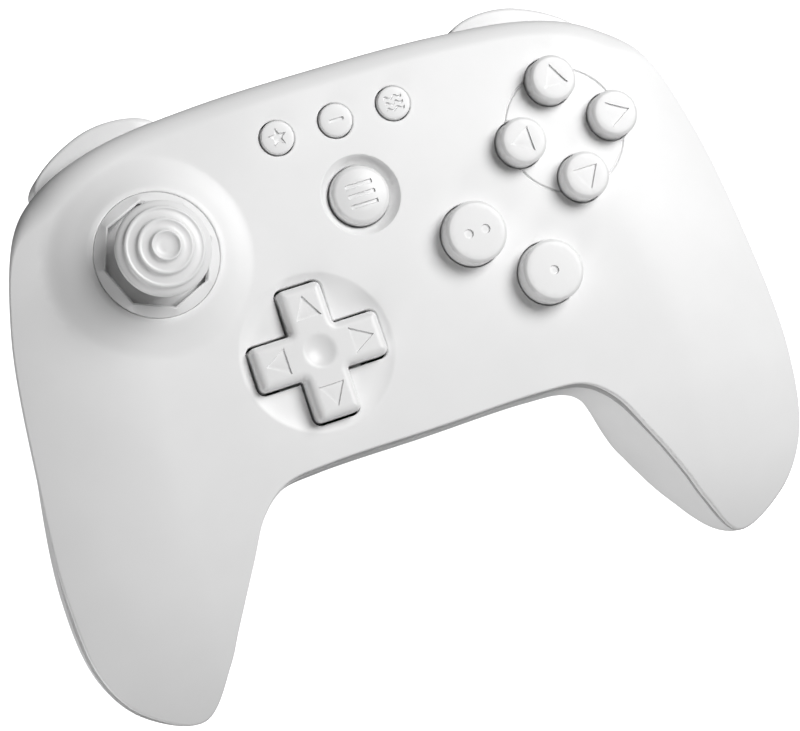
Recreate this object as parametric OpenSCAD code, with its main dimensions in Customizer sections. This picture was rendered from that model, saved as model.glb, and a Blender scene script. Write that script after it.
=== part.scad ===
// Wireless gamepad: two shells, a thumbstick on a gimbal, a rocking direction pad, push buttons,
// hinged bumpers and triggers, and the electronics that they work.
// Frame: +Z out of the face, +X to the player's right, +Y away from the player, resting at Z = 0.

/* [Shell] */
// Width across the two grips
body_w = 149.2; // [144:0.2:158]
// Length of the shells from the grip tips to the far edge
body_l = 108.1; // [104:0.1:114]
// Depth of the flat back below the middle of the face
back_depth = 27; // [26.5:0.1:29]
// Depth of the grips below the middle of the face
grip_depth = 42; // [40:0.1:46]
// Thickness of the shell walls
wall = 2.2; // [2:0.05:2.5]

/* [Thumbstick] */
// Diameter of the stick cap
stick_cap_d = 16.8; // [14:0.1:18]
// Height of the cap's middle above the face
stick_top = 12.2; // [11.2:0.1:13]
// Width across the flats of the eight-sided gate
gate_w = 18; // [17.6:0.1:18.6]
// Tilt of the stick to each side in degrees
stick_tilt = 16; // [10:1:18]

/* [Direction pad] */
// Length of the cross from end to end
dpad_l = 25; // [23:0.1:26]
// Width of each arm
dpad_arm = 8.4; // [7.6:0.1:9]
// Height of the cross above the middle of the face
dpad_top = 1.3; // [0.8:0.1:2.2]

/* [Buttons] */
// Diameter of the start button
start_d = 11.2; // [10:0.1:12]
// Diameter of the three small menu buttons
menu_d = 6.3; // [5.6:0.1:6.8]
// Diameter of the four buttons in the ring
ring_button_d = 9; // [8.2:0.1:9.6]
// Radius on which those four buttons stand
ring_r = 9.6; // [9.4:0.1:10.4]
// Diameter of the two action buttons
action_d = 11.7; // [10.6:0.1:12.4]
// Height of the ring and action buttons above the shell
button_rise = 3.7; // [2.6:0.1:4.5]
// Travel of the ring and action buttons
button_travel = 1.4; // [0.8:0.1:1.6]
// Travel of the start and menu buttons
menu_travel = 0.7; // [0.5:0.05:0.9]
// Gap round a push button in its hole
button_gap = 0.25; // [0.2:0.05:0.35]

/* [Bumpers and triggers] */
// How far a bumper stands out of the far edge
bumper_out = 4.6; // [3.4:0.1:5]
// Width of a trigger
trigger_w = 19.4; // [18.4:0.2:20.4]
// Gap round the bumpers and triggers
lever_gap = 0.4; // [0.35:0.05:0.5]

/* [Hidden] */
$fn = 48;

// The parting line of the right half, from the far edge round the grip to the near edge: the first points
// run along the far edge and the outer side to the grip tip, the rest back along the inner side.
// Each point is x, y, height of the seam, radius of the front edge above it.
far_y = 25.7;
tip_y = -82.4;
drawn_w = 149.2;
kx = body_w / drawn_w;
ky = body_l / (far_y - tip_y);
SEAM_DRAWN = [
    [0, far_y, -10, 4.5], [24, 25.2, -10, 4.5], [43, 23.1, -10, 4.5], [55.4, 18.7, -10, 5],
    [62.7, 12.1, -10, 4.5], [68.9, -5, -9.8, 3.5], [72.6, -30, -11, 3], [74.6, -52.6, -14.4, 3],
    [72.6, -69, -18, 2.6], [66.6, -78, -20.8, 2.2], [55.6, tip_y, -21.5, 2],
    [49, -74.1, -15.6, 2], [46, -68.3, -10.3, 2], [40, -57.6, -7, 2], [35.5, -51.1, -5.8, 2],
    [29.7, -47.2, -5.4, 2], [22, -46.3, -5.4, 2], [0, -46.3, -5.4, 2]
];
SEAM = [for (p = SEAM_DRAWN) [p[0] * kx, p[1] * ky, p[2], p[3]]];
outer_spans = 10;
inner_spans = 7;
half_steps = 24;

// Place of the whole part: its lowest point at Z = 0 and its box centred on X and Y
trigger_front = 29.6 * ky;
seam_low = min([for (i = [0:10]) seam_at(outer_spans - 0.5 + i / 10)[1]]);
shift_y = -(trigger_front + seam_low) / 2;
shift_z = grip_depth;

// Levels, measured from the middle of the face
seat_z = -(wall + 2);
flange_gap = 0.25;
flange_t = 1;
flange_top = seat_z - flange_gap;
plunger_end = flange_top - flange_t - 2;
board_top = -11;
board_t = 1.6;
board_under = board_top - board_t;
sheet_t = 0.8;
dome_gap = 0.2;
dome_top = plunger_end - dome_gap;
seam_far = SEAM_DRAWN[0][2];
tuck_max = 1.1;

// Stick, in the middle of its gimbal
stick_at = [-40.4 * kx, 0.2 * ky, -10];
gate_top = 3;
gate_t = 2.4;
gate_d = 23;
gate_fit = 0.1;
skirt_r = 13.6;
skirt_t = 1.3;
gate_cover = 42;
skirt_angle = gate_cover + stick_tilt;
neck_r = 3.6;
shaft_r = 1.5;
pin_fit = 0.05;
yoke_pin_r = 1.1;
cross_pin_r = 0.7;
housing_half = 7.6;
housing_r = 10.1;
housing_top = -7;
housing_low = -16;
switch_gap = 0.4;

// Direction pad, on its pivot ball
dpad_at = [-17.3 * kx, -25.2 * ky, -6.6];
dpad_tilt = 4;
dpad_gap = 0.5;
dpad_flange_r = 9.2;
dpad_dish_r = 14.6;
dpad_dish_depth = 1.5;
ball_r = 1.6;
cup_r = 2.4;
post_foot_r = 2.4;

// Buttons
start_at = [0, 0];
start_dish_r = 7.6;
start_dish_depth = 1;
menu_pitch = 11.65 * kx;
menu_y = 14.5 * ky;
ring_at = [42 * kx, 0.3 * ky];
upper_at = [17.8 * kx, -13.3 * ky];
lower_at = [29.8 * kx, -24.4 * ky];
flange_over = 1;
menu_flange_over = 0.7;
collar_over = 1;
groove_r = ring_r + 2.2;

// Bumpers, each hinged on an upright pin at its inner end
bumper_from = 1.28;
bumper_to = 3.05;
bumper_depth = 6.4;
bumper_low = -19;
bumper_top = seam_far - lever_gap;
bumper_pin = [31.2 * kx, 20.5 * ky];
bumper_post_r = 1.9;
bumper_press = 1.2;
bumper_pin_r = 1.2;
bumper_pin_reach = 1.8;

// Triggers, each hinged on a pin along X
trigger_x = 33.6 * kx;
trigger_hinge = [15 * ky, -22];
trigger_drum_r = 6.2;
trigger_pin_r = 1.2;
trigger_top = bumper_low - 0.5;
trigger_drum_top = trigger_top - 1.2;
trigger_barrel = 9.4;
trigger_barrel_r = 2.4;
hinge_rib_t = 1.8;
hinge_span = 13.6;
spring_turns = 4;
spring_wire_r = 0.35;
spring_r = 2.1;

// Fasteners
screw_r = 1.2;
screw_fit = 0.02;
screw_head_r = 2.3;
screw_head_h = 1.6;
screw_l = 10;
post_r = 2.7;
board_post_r = 2.2;
screw_tube_r = screw_head_r + 1.9;
// Each shell screw: x, y, height where the post of the front shell meets the tube of the rear shell
SHELL_SCREWS = [
    [28.2 * kx - screw_tube_r, 18.5 * ky, -15], [31 * kx, -40.5 * ky, -15], [60 * kx, -66 * ky, -22]
];
BOARD_SCREWS = [[6.6, 19.2 * ky], [55 * kx, -20 * ky]];
board_screw_l = 6;
board_head_r = 1.9;

// Things in the far wall and the near wall
port_w = 8.94;
port_h = 3.16;
port_l = 7.3;
port_wall = 0.3;
far_wall = far_y * ky - tuck_max - 0.2;
far_inside = wall + 0.5;
port_y = far_wall - 0.5;
port_z = board_under - port_h / 2;
pair_x = 12.5 * kx;
pair_z = board_under - 2.5;
pair_r = 1.5;
pair_travel = 0.4;
mode_x = -(SHELL_SCREWS[0][0] - screw_tube_r + BOARD_SCREWS[0][0] + board_head_r) / 2;
mode_travel = 1.5;
mode_w = 3;
mode_h = 2;
far_out = 0.7;
lamp_pitch = 3.9;
lamp_w = 1.8;
lamp_h = 0.7;
lamp_z = -11.4;
lamp_fit = 0.1;
near_y = -46.3 * ky;
bar_front = wall + 0.8;
bar_back = near_y + 4.4;

// Battery and motors
cell = [48 * kx, 33 * ky, 5.4];
cell_y = -9 * ky;
cell_z = -back_depth + wall;
motor_r = 6;
motor_l = 13;
motor_at = [56 * kx, -48 * ky, -24];
motor_shaft_r = 0.9;
weight_r = 6.4;
weight_t = 5;

// Point of the seam and the front edge radius at a place along the half outline (centripetal spline)
function ghost(p) = [-p[0], p[1], p[2], p[3]];
function chord(a, b) = pow(norm([a[0] - b[0], a[1] - b[1]]), 0.5);
function blend(a, b, ta, tb, t) = a * ((tb - t) / (tb - ta)) + b * ((t - ta) / (tb - ta));
function seam_at(t) =
    let (
        last = len(SEAM) - 1,
        i = min(floor(t), last - 1),
        p1 = SEAM[i],
        p2 = SEAM[i + 1],
        p0 = i > 0 ? SEAM[i - 1] : ghost(SEAM[1]),
        p3 = i + 2 <= last ? SEAM[i + 2] : ghost(SEAM[last - 1]),
        t1 = chord(p0, p1),
        t2 = t1 + chord(p1, p2),
        t3 = t2 + chord(p2, p3),
        u = t1 + (t2 - t1) * (t - i),
        a1 = blend(p0, p1, 0, t1, u),
        a2 = blend(p1, p2, t1, t2, u),
        a3 = blend(p2, p3, t2, t3, u),
        b1 = blend(a1, a2, 0, t2, u),
        b2 = blend(a2, a3, t1, t3, u)
    ) blend(b1, b2, t1, t2, u);

// Outer and inner side of a half at the share s from the middle plane to the grip tip
function outer_side(s) = seam_at(outer_spans * s);
function inner_side(s) = seam_at(outer_spans + inner_spans * (1 - s));

// Middle line between the two sides, ending short of the tip
function middle_line(s) =
    let (f = s - 0.2 * pow(s, 4), a = outer_side(f), b = inner_side(f))
    [(a[0] + b[0]) / 2, (a[1] + b[1]) / 2];

// The closed rim: each entry is the seam point, its partner on the middle line, their distance
function half_rim() = [
    for (i = [0:half_steps]) [outer_side(i / half_steps), middle_line(i / half_steps)],
    for (i = [1:half_steps]) [inner_side(1 - i / half_steps), middle_line(1 - i / half_steps)]
];
function mirrored(e) = [ghost(e[0]), [-e[1][0], e[1][1]]];
function rim() =
    let (half = half_rim(), n = len(half))
    [
        for (e = half) e,
        for (i = [n - 2:-1:1]) mirrored(half[i])
    ];
function reach(e) = norm([e[1][0] - e[0][0], e[1][1] - e[0][1]]);
// Point at a distance inwards from the seam; at the full reach it is the middle point itself
function inward(e, d) =
    d >= reach(e) ? e[1] : [e[0][0], e[0][1]] + (e[1] - [e[0][0], e[0][1]]) * (d / reach(e));
function smooth(a, b, v) = let (t = max(0, min(1, (v - a) / (b - a)))) t * t * (3 - 2 * t);

// Height of the face: a slight crown, drooping grips and sides that roll down
crown_r = 760;
droop = 0.0065;
droop_from = -50;
roll_depth = 4.8;
roll_w = 25;
roll_power = 2.2;
function side_x(y) = 69.8 + 4.8 * smooth(0, 45, -y);
function face_z(x, y) =
    let (
        u = abs(x) / kx,
        v = y / ky,
        roll = max(0, 1 - (side_x(v) - u) / roll_w)
    ) -v * v / crown_r - droop * pow(max(0, droop_from - v), 2) - roll_depth * pow(roll, roll_power);

// Height of the back: flat in the middle, deep in the grips, rising to the tips
tip_rise = 13;
function grip_share(x, y) = smooth(22, 56, -y / ky) * smooth(28, 56, abs(x) / kx);
function back_z(x, y) =
    -back_depth - (grip_depth - back_depth) * grip_share(x, y)
    + tip_rise * smooth(58, 84, -y / ky) * smooth(18, 40, abs(x) / kx);
// The grips lean inwards as they go back
lean = 0.24;
function lean_x(x, y) = -sign(x) * lean * smooth(26, 60, -y / ky) * (-12 - back_z(x, y));

// Rings of the front shell: t is the wall to go below the face, 0 for the outside
function front_edge(e, t, a) =
    let (r = max(e[0][3] - t, 0.5), q = inward(e, t + r * (1 - cos(a))))
    [q[0], q[1], face_z(q[0], q[1]) - t - r + r * sin(a)];
function front_flat(e, t, share) =
    let (r = max(e[0][3] - t, 0.5) + t, q = inward(e, r + (reach(e) - r) * share))
    [q[0], q[1], face_z(q[0], q[1]) - t];
// Below its widest line the front shell draws in towards the seam, except along the crisp inner edge
function tuck(e) = tuck_max * max(0, min(1, e[0][3] - 2));
function seam_ring(edge, t) = [for (e = edge) let (q = inward(e, t + tuck(e))) [q[0], q[1], e[0][2]]];
flat_shares = [0.12, 0.3, 0.5, 0.75, 1];
function front_rings(edge, t, angles) = [
    seam_ring(edge, t),
    for (a = angles) [for (e = edge) front_edge(e, t, a)],
    for (s = flat_shares) [for (e = edge) front_flat(e, t, s)]
];

// Rings of the rear shell: the back rolls up to the seam on a superellipse
back_roll = 16;
roll_n = 2.5;
function rear_point(e, t, d, share) =
    let (q = inward(e, d), z = back_z(q[0], q[1]) + t)
    [q[0] + lean_x(q[0], q[1]) * share, q[1], e[0][2] + (z - e[0][2]) * share];
function rear_width(e) = min(back_roll, 0.8 * reach(e));
function rear_curve(e, t, a) =
    let (c = pow(max(cos(a), 0), 2 / roll_n), s = pow(sin(a), 2 / roll_n))
    rear_point(e, t, t + tuck(e) + (rear_width(e) - t - tuck(e)) * (1 - c), s);
function rear_flat(e, t, share) = rear_point(e, t, rear_width(e) + (reach(e) - rear_width(e)) * share, 1);
back_shares = [0.3, 0.65, 1];
function rear_rings(edge, t, angles) = [
    seam_ring(edge, t),
    for (a = angles) [for (e = edge) rear_curve(e, t, a)],
    for (s = back_shares) [for (e = edge) rear_flat(e, t, s)]
];

function backwards(list) = [for (i = [len(list) - 1:-1:0]) list[i]];
function middle_ring(edge, z) = [for (e = edge) [e[1][0], e[1][1], z]];

// Skin through rings of equal length; the end rings close on themselves or are capped. The slant of the
// triangles is set so that the two shells share those of the seam.
module skin(rings, capped = false, slant = false) {
    n = len(rings[0]);
    rows = len(rings);
    faces = [
        for (i = [0:rows - 2])
            for (j = [0:n - 1])
                let (k = (j + 1) % n, a = i * n + j, b = i * n + k, c = a + n, d = b + n)
                for (f = slant ? [[a, b, c], [b, d, c]] : [[a, b, d], [a, d, c]]) f
    ];
    caps = capped ? [[for (j = [n - 1:-1:0]) j], [for (j = [0:n - 1]) (rows - 1) * n + j]] : [];
    polyhedron([for (r = rings) for (p = r) p], concat(faces, caps));
}

// The two hollow shells and the full shapes that trim what is built inside them
outer_edge_angles = [0, 22.5, 45, 67.5, 90];
inner_edge_angles = [0, 90];
outer_back_angles = [12, 24, 36, 48, 60, 72, 90];
inner_back_angles = [15, 35, 55, 75, 90];
module front_hollow() {
    edge = rim();
    inside = backwards(front_rings(edge, wall, inner_edge_angles));
    skin(concat(inside, front_rings(edge, 0, outer_edge_angles)));
}
module front_full() {
    edge = rim();
    skin(concat([middle_ring(edge, -24)], front_rings(edge, 0.3, inner_edge_angles)));
}
module rear_hollow() {
    edge = rim();
    outside = backwards(rear_rings(edge, 0, outer_back_angles));
    skin(concat(outside, rear_rings(edge, wall, inner_back_angles)), slant = true);
}
module rear_full() {
    edge = rim();
    skin(concat(backwards(rear_rings(edge, 0.3, inner_back_angles)), [middle_ring(edge, -4)]));
}

// Small helpers
module at_place() { translate([0, shift_y, shift_z]) children(); }
module both_sides() {
    children();
    mirror([1, 0, 0]) children();
}
module side(sign) { mirror([sign < 0 ? 1 : 0, 0, 0]) children(); }
module rod(r, z0, z1) { translate([0, 0, z0]) cylinder(r = r, h = z1 - z0); }
module rod_x(r, x0, x1) { translate([x0, 0, 0]) rotate([0, 90, 0]) cylinder(r = r, h = x1 - x0); }
module rod_y(r, y0, y1) { translate([0, y1, 0]) rotate([90, 0, 0]) cylinder(r = r, h = y1 - y0); }
module block(x, y, z) { translate([x[0], y[0], z[0]]) cube([x[1] - x[0], y[1] - y[0], z[1] - z[0]]); }

// Places of the push buttons
function ring_place(i) = ring_at + ring_r * [cos(90 - 90 * i), sin(90 - 90 * i)];
PUSH_HOLES = [
    [start_at, start_d],
    [[-menu_pitch, menu_y], menu_d], [[0, menu_y], menu_d], [[menu_pitch, menu_y], menu_d],
    [ring_place(0), ring_button_d], [ring_place(1), ring_button_d], [ring_place(2), ring_button_d],
    [ring_place(3), ring_button_d], [upper_at, action_d], [lower_at, action_d]
];
function skin_z(p) = face_z(p[0], p[1]);

// Cross of the direction pad as an outline with rounded outer corners
corner_r = 1.2;
function arc_points(c, r, a0, a1, n) = [
    for (i = [0:n]) let (a = a0 + (a1 - a0) * i / n) c + r * [cos(a), sin(a)]
];
function turned(p, a) = [p[0] * cos(a) - p[1] * sin(a), p[0] * sin(a) + p[1] * cos(a)];
function cross_outline(l, w) =
    let (h = l / 2 - corner_r, v = w / 2 - corner_r)
    [
        for (q = [0:3])
            for (p = concat(
                arc_points([h, -v], corner_r, -90, 0, 3),
                arc_points([h, v], corner_r, 0, 90, 3),
                [[w / 2, w / 2]]
            )) turned(p, 90 * q)
    ];
function lifted(points, z) = [for (p = points) [p[0], p[1], z]];

module front_shell() {
    seat = gate_top - gate_t;
    ledge_r = 10.4;
    flare = [
        [11, gate_top - 1], [12.4, 1.85], [13.6, 1.3], [14.8, 0.7], [16, 0.1], [17.2, -0.6], [18.4, -1.5]
    ];
    well = [[0, -20], [14.2, -20], [14.2, -1.9], [11.2, -0.2], [ledge_r, -0.2], [ledge_r, 9], [0, 9]];
    color("white") at_place() difference() {
        union() {
            front_hollow();
            intersection() {
                front_full();
                union() {
                    for (h = PUSH_HOLES)
                        translate(h[0]) rod(h[1] / 2 + button_gap + collar_over, seat_z, 0);
                    translate(start_at) rod(start_dish_r + 0.6, seat_z, 0);
                    translate([dpad_at[0], dpad_at[1], 0]) rod(dpad_dish_r + 0.6, seat_z, 0);
                    both_sides() for (s = SHELL_SCREWS) translate([s[0], s[1], 0]) rod(post_r, s[2], 0);
                    both_sides() for (s = BOARD_SCREWS) translate(s) rod(board_post_r, board_top, 0);
                    both_sides() translate(bumper_pin) rod(post_r, bumper_top + lever_gap, 0);
                }
            }
            translate([stick_at[0], stick_at[1], 0]) rotate_extrude($fn = 96)
                polygon(concat([[ledge_r - 1, -1.5], [ledge_r - 1, gate_top - 1]], flare));
        }
        translate([stick_at[0], stick_at[1], 0]) rod(gate_d / 2 + gate_fit, seat, gate_top + 1);
        translate([stick_at[0], stick_at[1], 0]) rotate_extrude($fn = 96) polygon(well);
        for (h = PUSH_HOLES)
            translate(h[0]) rod(h[1] / 2 + button_gap, seat_z - 1, 8);
        dish(start_at, start_dish_r, start_dish_depth);
        dish(dpad_at, dpad_dish_r, dpad_dish_depth);
        translate([dpad_at[0], dpad_at[1], seat_z - 1])
            linear_extrude(8) polygon(cross_outline(dpad_l + 2 * dpad_gap, dpad_arm + 2 * dpad_gap));
        translate([ring_at[0], ring_at[1], skin_z(ring_at) - 0.35]) rotate([0, 1.2, 0])
            rotate_extrude($fn = 96) translate([groove_r - 0.2, 0]) square([0.4, 3]);
        both_sides() for (s = SHELL_SCREWS)
            translate([s[0], s[1], 0]) rod(screw_r + screw_fit, s[2] - 1, s[2] + 7);
        both_sides() for (s = BOARD_SCREWS)
            translate(s) rod(screw_r + screw_fit, board_top - 1, board_top + board_screw_l);
        both_sides() translate(bumper_pin)
            rod(bumper_pin_r + pin_fit, bumper_top - 1, bumper_top + bumper_pin_reach + lever_gap);
    }
}
// Shallow bowl sunk into the face, square to the slope of the face there
function face_normal(p) =
    let (
        n = [
            face_z(p[0] - 1, p[1]) - face_z(p[0] + 1, p[1]),
            face_z(p[0], p[1] - 1) - face_z(p[0], p[1] + 1),
            2
        ]
    ) n / norm(n);
module dish(at, r, depth) {
    ball = (r * r + depth * depth) / (2 * depth);
    intersection() {
        translate([at[0], at[1], skin_z(at)] + face_normal(at) * (ball - depth)) sphere(r = ball, $fn = 96);
        translate([at[0], at[1], 0]) rod(r + 0.5, -9, 9);
    }
}

// Bumper seen from above: a band along the far edge that swells outwards between its ends
function seam_normal(t) =
    let (a = seam_at(t - 0.02), b = seam_at(t + 0.02), d = [b[0] - a[0], b[1] - a[1]])
    [-d[1], d[0]] / norm(d);
function band_point(t, out) = let (p = seam_at(t)) [p[0], p[1]] + out * seam_normal(t);
function bumper_swell(u) = pow(max(0, 1 - pow(abs(2 * u - 1), 3)), 0.6) * (1 - 0.35 * smooth(0.3, 0.9, u));
band_steps = 14;
function bumper_outline(grow, out, depth) =
    let (t0 = bumper_from - grow / 18, t1 = bumper_to + grow / 8)
    [
        for (i = [0:band_steps])
            let (u = i / band_steps) band_point(t0 + (t1 - t0) * u, out * bumper_swell(u) + grow - 0.2),
        for (i = [band_steps:-1:0])
            let (u = i / band_steps) band_point(t0 + (t1 - t0) * u, -depth)
    ];
bevel = 0.8;
module bumper_solid() {
    full = bumper_outline(0, bumper_out, bumper_depth);
    thin = bumper_outline(-0.25, bumper_out - bevel + 0.25, bumper_depth);
    low = bumper_low + bevel;
    high = bumper_top - bevel;
    rings = [lifted(thin, bumper_low), lifted(full, low), lifted(full, high), lifted(thin, bumper_top)];
    skin(rings, capped = true);
    translate(bumper_pin) rod(bumper_pin_r, bumper_low - bumper_pin_reach, bumper_top + bumper_pin_reach);
}
module left_bumper() { color("white") at_place() side(-1) bumper_solid(); }
module right_bumper() { color("white") at_place() side(1) bumper_solid(); }

// Trigger seen from its side: a drum round the hinge and a finger pad that sweeps down to its lip
pad_outline = [
    [trigger_hinge[0], trigger_top], [24 * ky, trigger_top], [27 * ky, -20.8], [29.1 * ky, -24],
    [trigger_front, -28.4], [29.4 * ky, -32.4], [28.6 * ky, -36], [27.2 * ky, -38.6], [25.4 * ky, -39.8],
    [23.4 * ky, -39], [21.5 * ky, -36.2], [19.3 * ky, -32], [17.2 * ky, -28.6],
    [trigger_hinge[0], trigger_hinge[1] - trigger_drum_r]
];
// The same trigger from above: its outer end follows the corner of the shell
function trigger_plan() =
    let (x0 = trigger_x, w = trigger_w)
    [
        [x0, 5], [x0, 24.6 * ky], [x0 + 0.06 * w, 27 * ky], [x0 + 0.2 * w, 29 * ky],
        [x0 + 0.35 * w, trigger_front], [x0 + 0.5 * w, 28.6 * ky], [x0 + 0.65 * w, 26.8 * ky],
        [x0 + 0.8 * w, 24.2 * ky], [x0 + 0.93 * w, 21.4 * ky], [x0 + w, 18.6 * ky], [x0 + w, 5]
    ];
// Turns a side view (y, z) into a solid along X
module along_x(x0, x1) { translate([x0, 0, 0]) rotate([90, 0, 90]) linear_extrude(x1 - x0) children(); }
module trigger_solid() {
    h = trigger_hinge;
    x1 = trigger_x + trigger_w;
    rib_x = trigger_x + hinge_span;
    difference() {
        union() {
            intersection() {
                translate([0, 0, -60]) linear_extrude(60) polygon(trigger_plan());
                union() {
                    along_x(trigger_x, x1) polygon(pad_outline);
                    along_x(trigger_x, x1) intersection() {
                        translate(h) circle(r = trigger_drum_r);
                        translate([h[0] - 10, trigger_drum_top - 10]) square([10, 10]);
                    }
                }
            }
            translate([0, h[0], h[1]]) rod_x(trigger_barrel_r, trigger_x, trigger_x + trigger_barrel);
        }
        translate([0, h[0], h[1]]) rod_x(trigger_pin_r + pin_fit, trigger_x - 1, x1 + 1);
        block([trigger_x + trigger_barrel, rib_x + hinge_rib_t + 2 * lever_gap],
            [5, h[0] + 3.6], [h[1] - 3.6, h[1] + 10]);
        block([rib_x, rib_x + hinge_rib_t + 2 * lever_gap], [5, h[0] + 4.4], [h[1] - 8, h[1] + 10]);
    }
}
module left_trigger() { color("whitesmoke") at_place() side(-1) trigger_solid(); }
module right_trigger() { color("whitesmoke") at_place() side(1) trigger_solid(); }

// Plates of the rear shell that hold a trigger pin, on both sides of the trigger's hinge
function hinge_ribs() = [
    [trigger_x - lever_gap - hinge_rib_t, trigger_x - lever_gap],
    [trigger_x + hinge_span + lever_gap, trigger_x + hinge_span + lever_gap + hinge_rib_t]
];
module trigger_pin() {
    ribs = hinge_ribs();
    translate([0, trigger_hinge[0], trigger_hinge[1]]) rod_x(trigger_pin_r, ribs[0][0], ribs[1][1]);
}
module left_trigger_pin() { color("silver") at_place() side(-1) trigger_pin(); }
module right_trigger_pin() { color("silver") at_place() side(1) trigger_pin(); }

// Torsion spring round the trigger pin: a wire swept along a helix
spring_sides = 6;
spring_rings = 12;
module trigger_spring() {
    x0 = trigger_x + trigger_barrel + 0.5;
    pitch = (hinge_span - trigger_barrel - 1) / spring_turns;
    rings = [
        for (i = [0:spring_turns * spring_rings])
            let (a = 360 * i / spring_rings, x = x0 + pitch * i / spring_rings, h = trigger_hinge)
            [
                for (j = [0:spring_sides - 1])
                    let (b = 360 * j / spring_sides, r = spring_r + spring_wire_r * cos(b))
                    [x + spring_wire_r * sin(b), h[0] + r * cos(a), h[1] + r * sin(a)]
            ]
    ];
    skin(backwards(rings), capped = true);
}
module left_trigger_spring() { color("silver") at_place() side(-1) trigger_spring(); }
module right_trigger_spring() { color("silver") at_place() side(1) trigger_spring(); }

module rear_shell() {
    ribs = hinge_ribs();
    h = trigger_hinge;
    open_x = [trigger_x - lever_gap, trigger_x + trigger_w + lever_gap];
    color("white") at_place() difference() {
        union() {
            difference() {
                rear_hollow();
                both_sides() translate([0, 0, bumper_low - lever_gap]) linear_extrude(20)
                    polygon(bumper_outline(lever_gap, bumper_out + 4, bumper_depth + bumper_press));
                both_sides() block(open_x, [h[0] - trigger_drum_r - lever_gap, 60], [-60, bumper_low]);
            }
            intersection() {
                rear_full();
                union() {
                    both_sides() for (s = SHELL_SCREWS)
                        translate([s[0], s[1], 0]) rod(screw_tube_r, -60, s[2]);
                    both_sides() for (x = ribs)
                        block(x, [h[0] - trigger_drum_r - 4, h[0] + 2.4], [-40, bumper_low - lever_gap]);
                    both_sides() translate(bumper_pin) rod(bumper_post_r, -40, bumper_low - lever_gap);
                    both_sides() for (y = [2, 9])
                        translate([0, motor_at[1] + y, 0])
                            block([40 * kx, 66 * kx], [0, 1.6], [-60, motor_at[2]]);
                    for (x = [-1, 1], y = [-1, 1])
                        translate([x * (cell[0] / 2 + 0.9), cell_y + y * (cell[1] / 2 - 4), 0])
                            block([-0.8, 0.8], [-3, 3], [-40, cell_z + 4]);
                    for (y = [-1, 1]) translate([0, cell_y + y * (cell[1] / 2 + 0.9), 0])
                        block([-6, 6], [-0.8, 0.8], [-40, cell_z + 4]);
                }
            }
        }
        both_sides() for (s = SHELL_SCREWS) translate([s[0], s[1], 0]) {
            rod(screw_r + 0.2, -60, s[2] + 1);
            rod(screw_head_r + 0.3, -60, s[2] - 4);
        }
        both_sides() translate([0, h[0], h[1]]) rod_x(trigger_pin_r, ribs[0][0] - 1, ribs[1][1] + 1);
        both_sides() translate(bumper_pin)
            rod(bumper_pin_r + pin_fit, bumper_low - bumper_pin_reach - 2 * lever_gap, bumper_low);
        both_sides() translate(motor_at) rod_y(motor_r, -1, motor_l + 1);
        translate([0, far_wall - 6, port_z]) stadium(port_w + 0.6, port_h + 0.6, 8);
        translate([pair_x, far_wall, pair_z]) rod_y(pair_r + button_gap, -6, 2);
        translate([mode_x, far_wall, port_z])
            block([-1, 1] * (mode_w / 2 + mode_travel + 0.3), [-6, 2], [-1, 1] * (mode_h / 2 + 0.3));
        lamp_slots(lamp_fit, near_y - 2, near_y + 4);
    }
}
// Slot with round ends, pointing along +Y
module stadium(w, h, l) {
    rotate([-90, 0, 0]) linear_extrude(l) {
        square([w - h, h], center = true);
        for (x = [-1, 1]) translate([x * (w - h) / 2, 0]) circle(d = h);
    }
}
module lamp_slots(grow, y0, y1) {
    for (i = [-1.5:1.5])
        translate([i * lamp_pitch, 0, lamp_z])
            block([-1, 1] * (lamp_w / 2 + grow), [y0, y1], [-1, 1] * (lamp_h / 2 + grow));
}

// Thumbstick and gimbal
module stick_gate_ring() {
    low = gate_top - gate_t;
    brim = gate_top - 1;
    color("gainsboro") at_place() translate([stick_at[0], stick_at[1], 0]) difference() {
        rotate_extrude() polygon([
            [gate_w / 2 - 1, low], [gate_d / 2, low], [gate_d / 2, brim], [gate_w / 2 + 0.9, gate_top],
            [gate_w / 2 - 1, gate_top]
        ]);
        translate([0, 0, low - 1]) cylinder(r = gate_w / 2 / cos(22.5), h = 8, $fn = 8);
    }
}
module thumbstick() {
    r = stick_cap_d / 2;
    top = stick_top - stick_at[2];
    brim = top - 3;
    cap = [
        [0, top - 0.75], [1.2, top - 0.65], [2, top - 0.2], [2.4, top], [2.8, top - 0.15], [3.2, top - 0.8],
        [4.2, top - 0.95], [4.6, top - 0.75], [5, top - 0.8], [5.4, top - 1.6], [6.5, top - 2.1],
        [6.9, top - 2.05], [7.3, top - 2.2], [7.6, top - 2.6], [r - 0.4, brim - 0.1], [r, brim - 0.6],
        [r - 0.1, brim - 1.1], [r - 0.7, brim - 1.4], [neck_r + 1, brim - 1.2], [neck_r, brim - 2]
    ];
    inside = skirt_r - skirt_t;
    dome = [for (a = [asin(neck_r / skirt_r):4:skirt_angle - 1]) skirt_r * [sin(a), cos(a)]];
    under = [for (a = [skirt_angle:-4:6]) inside * [sin(a), cos(a)]];
    edge = [skirt_r * [sin(skirt_angle), cos(skirt_angle)]];
    color("white") at_place() translate(stick_at) difference() {
        rotate_extrude($fn = 96) polygon(concat(cap, dome, edge, under, [[0, inside]]));
        rod(shaft_r + screw_fit, 5, top - 3);
    }
}
module stick_shaft() {
    top = stick_top - stick_at[2] - 3;
    color("silver") at_place() translate(stick_at) {
        rod(shaft_r, 2.4, top);
        difference() {
            rod(shaft_r, -2.2, 2.4);
            for (y = [-1, 1]) translate([0, y * 1.95, 0]) cube([8, 2, 9], center = true);
        }
        rod_y(cross_pin_r, -2.4, 2.4);
    }
}
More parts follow.
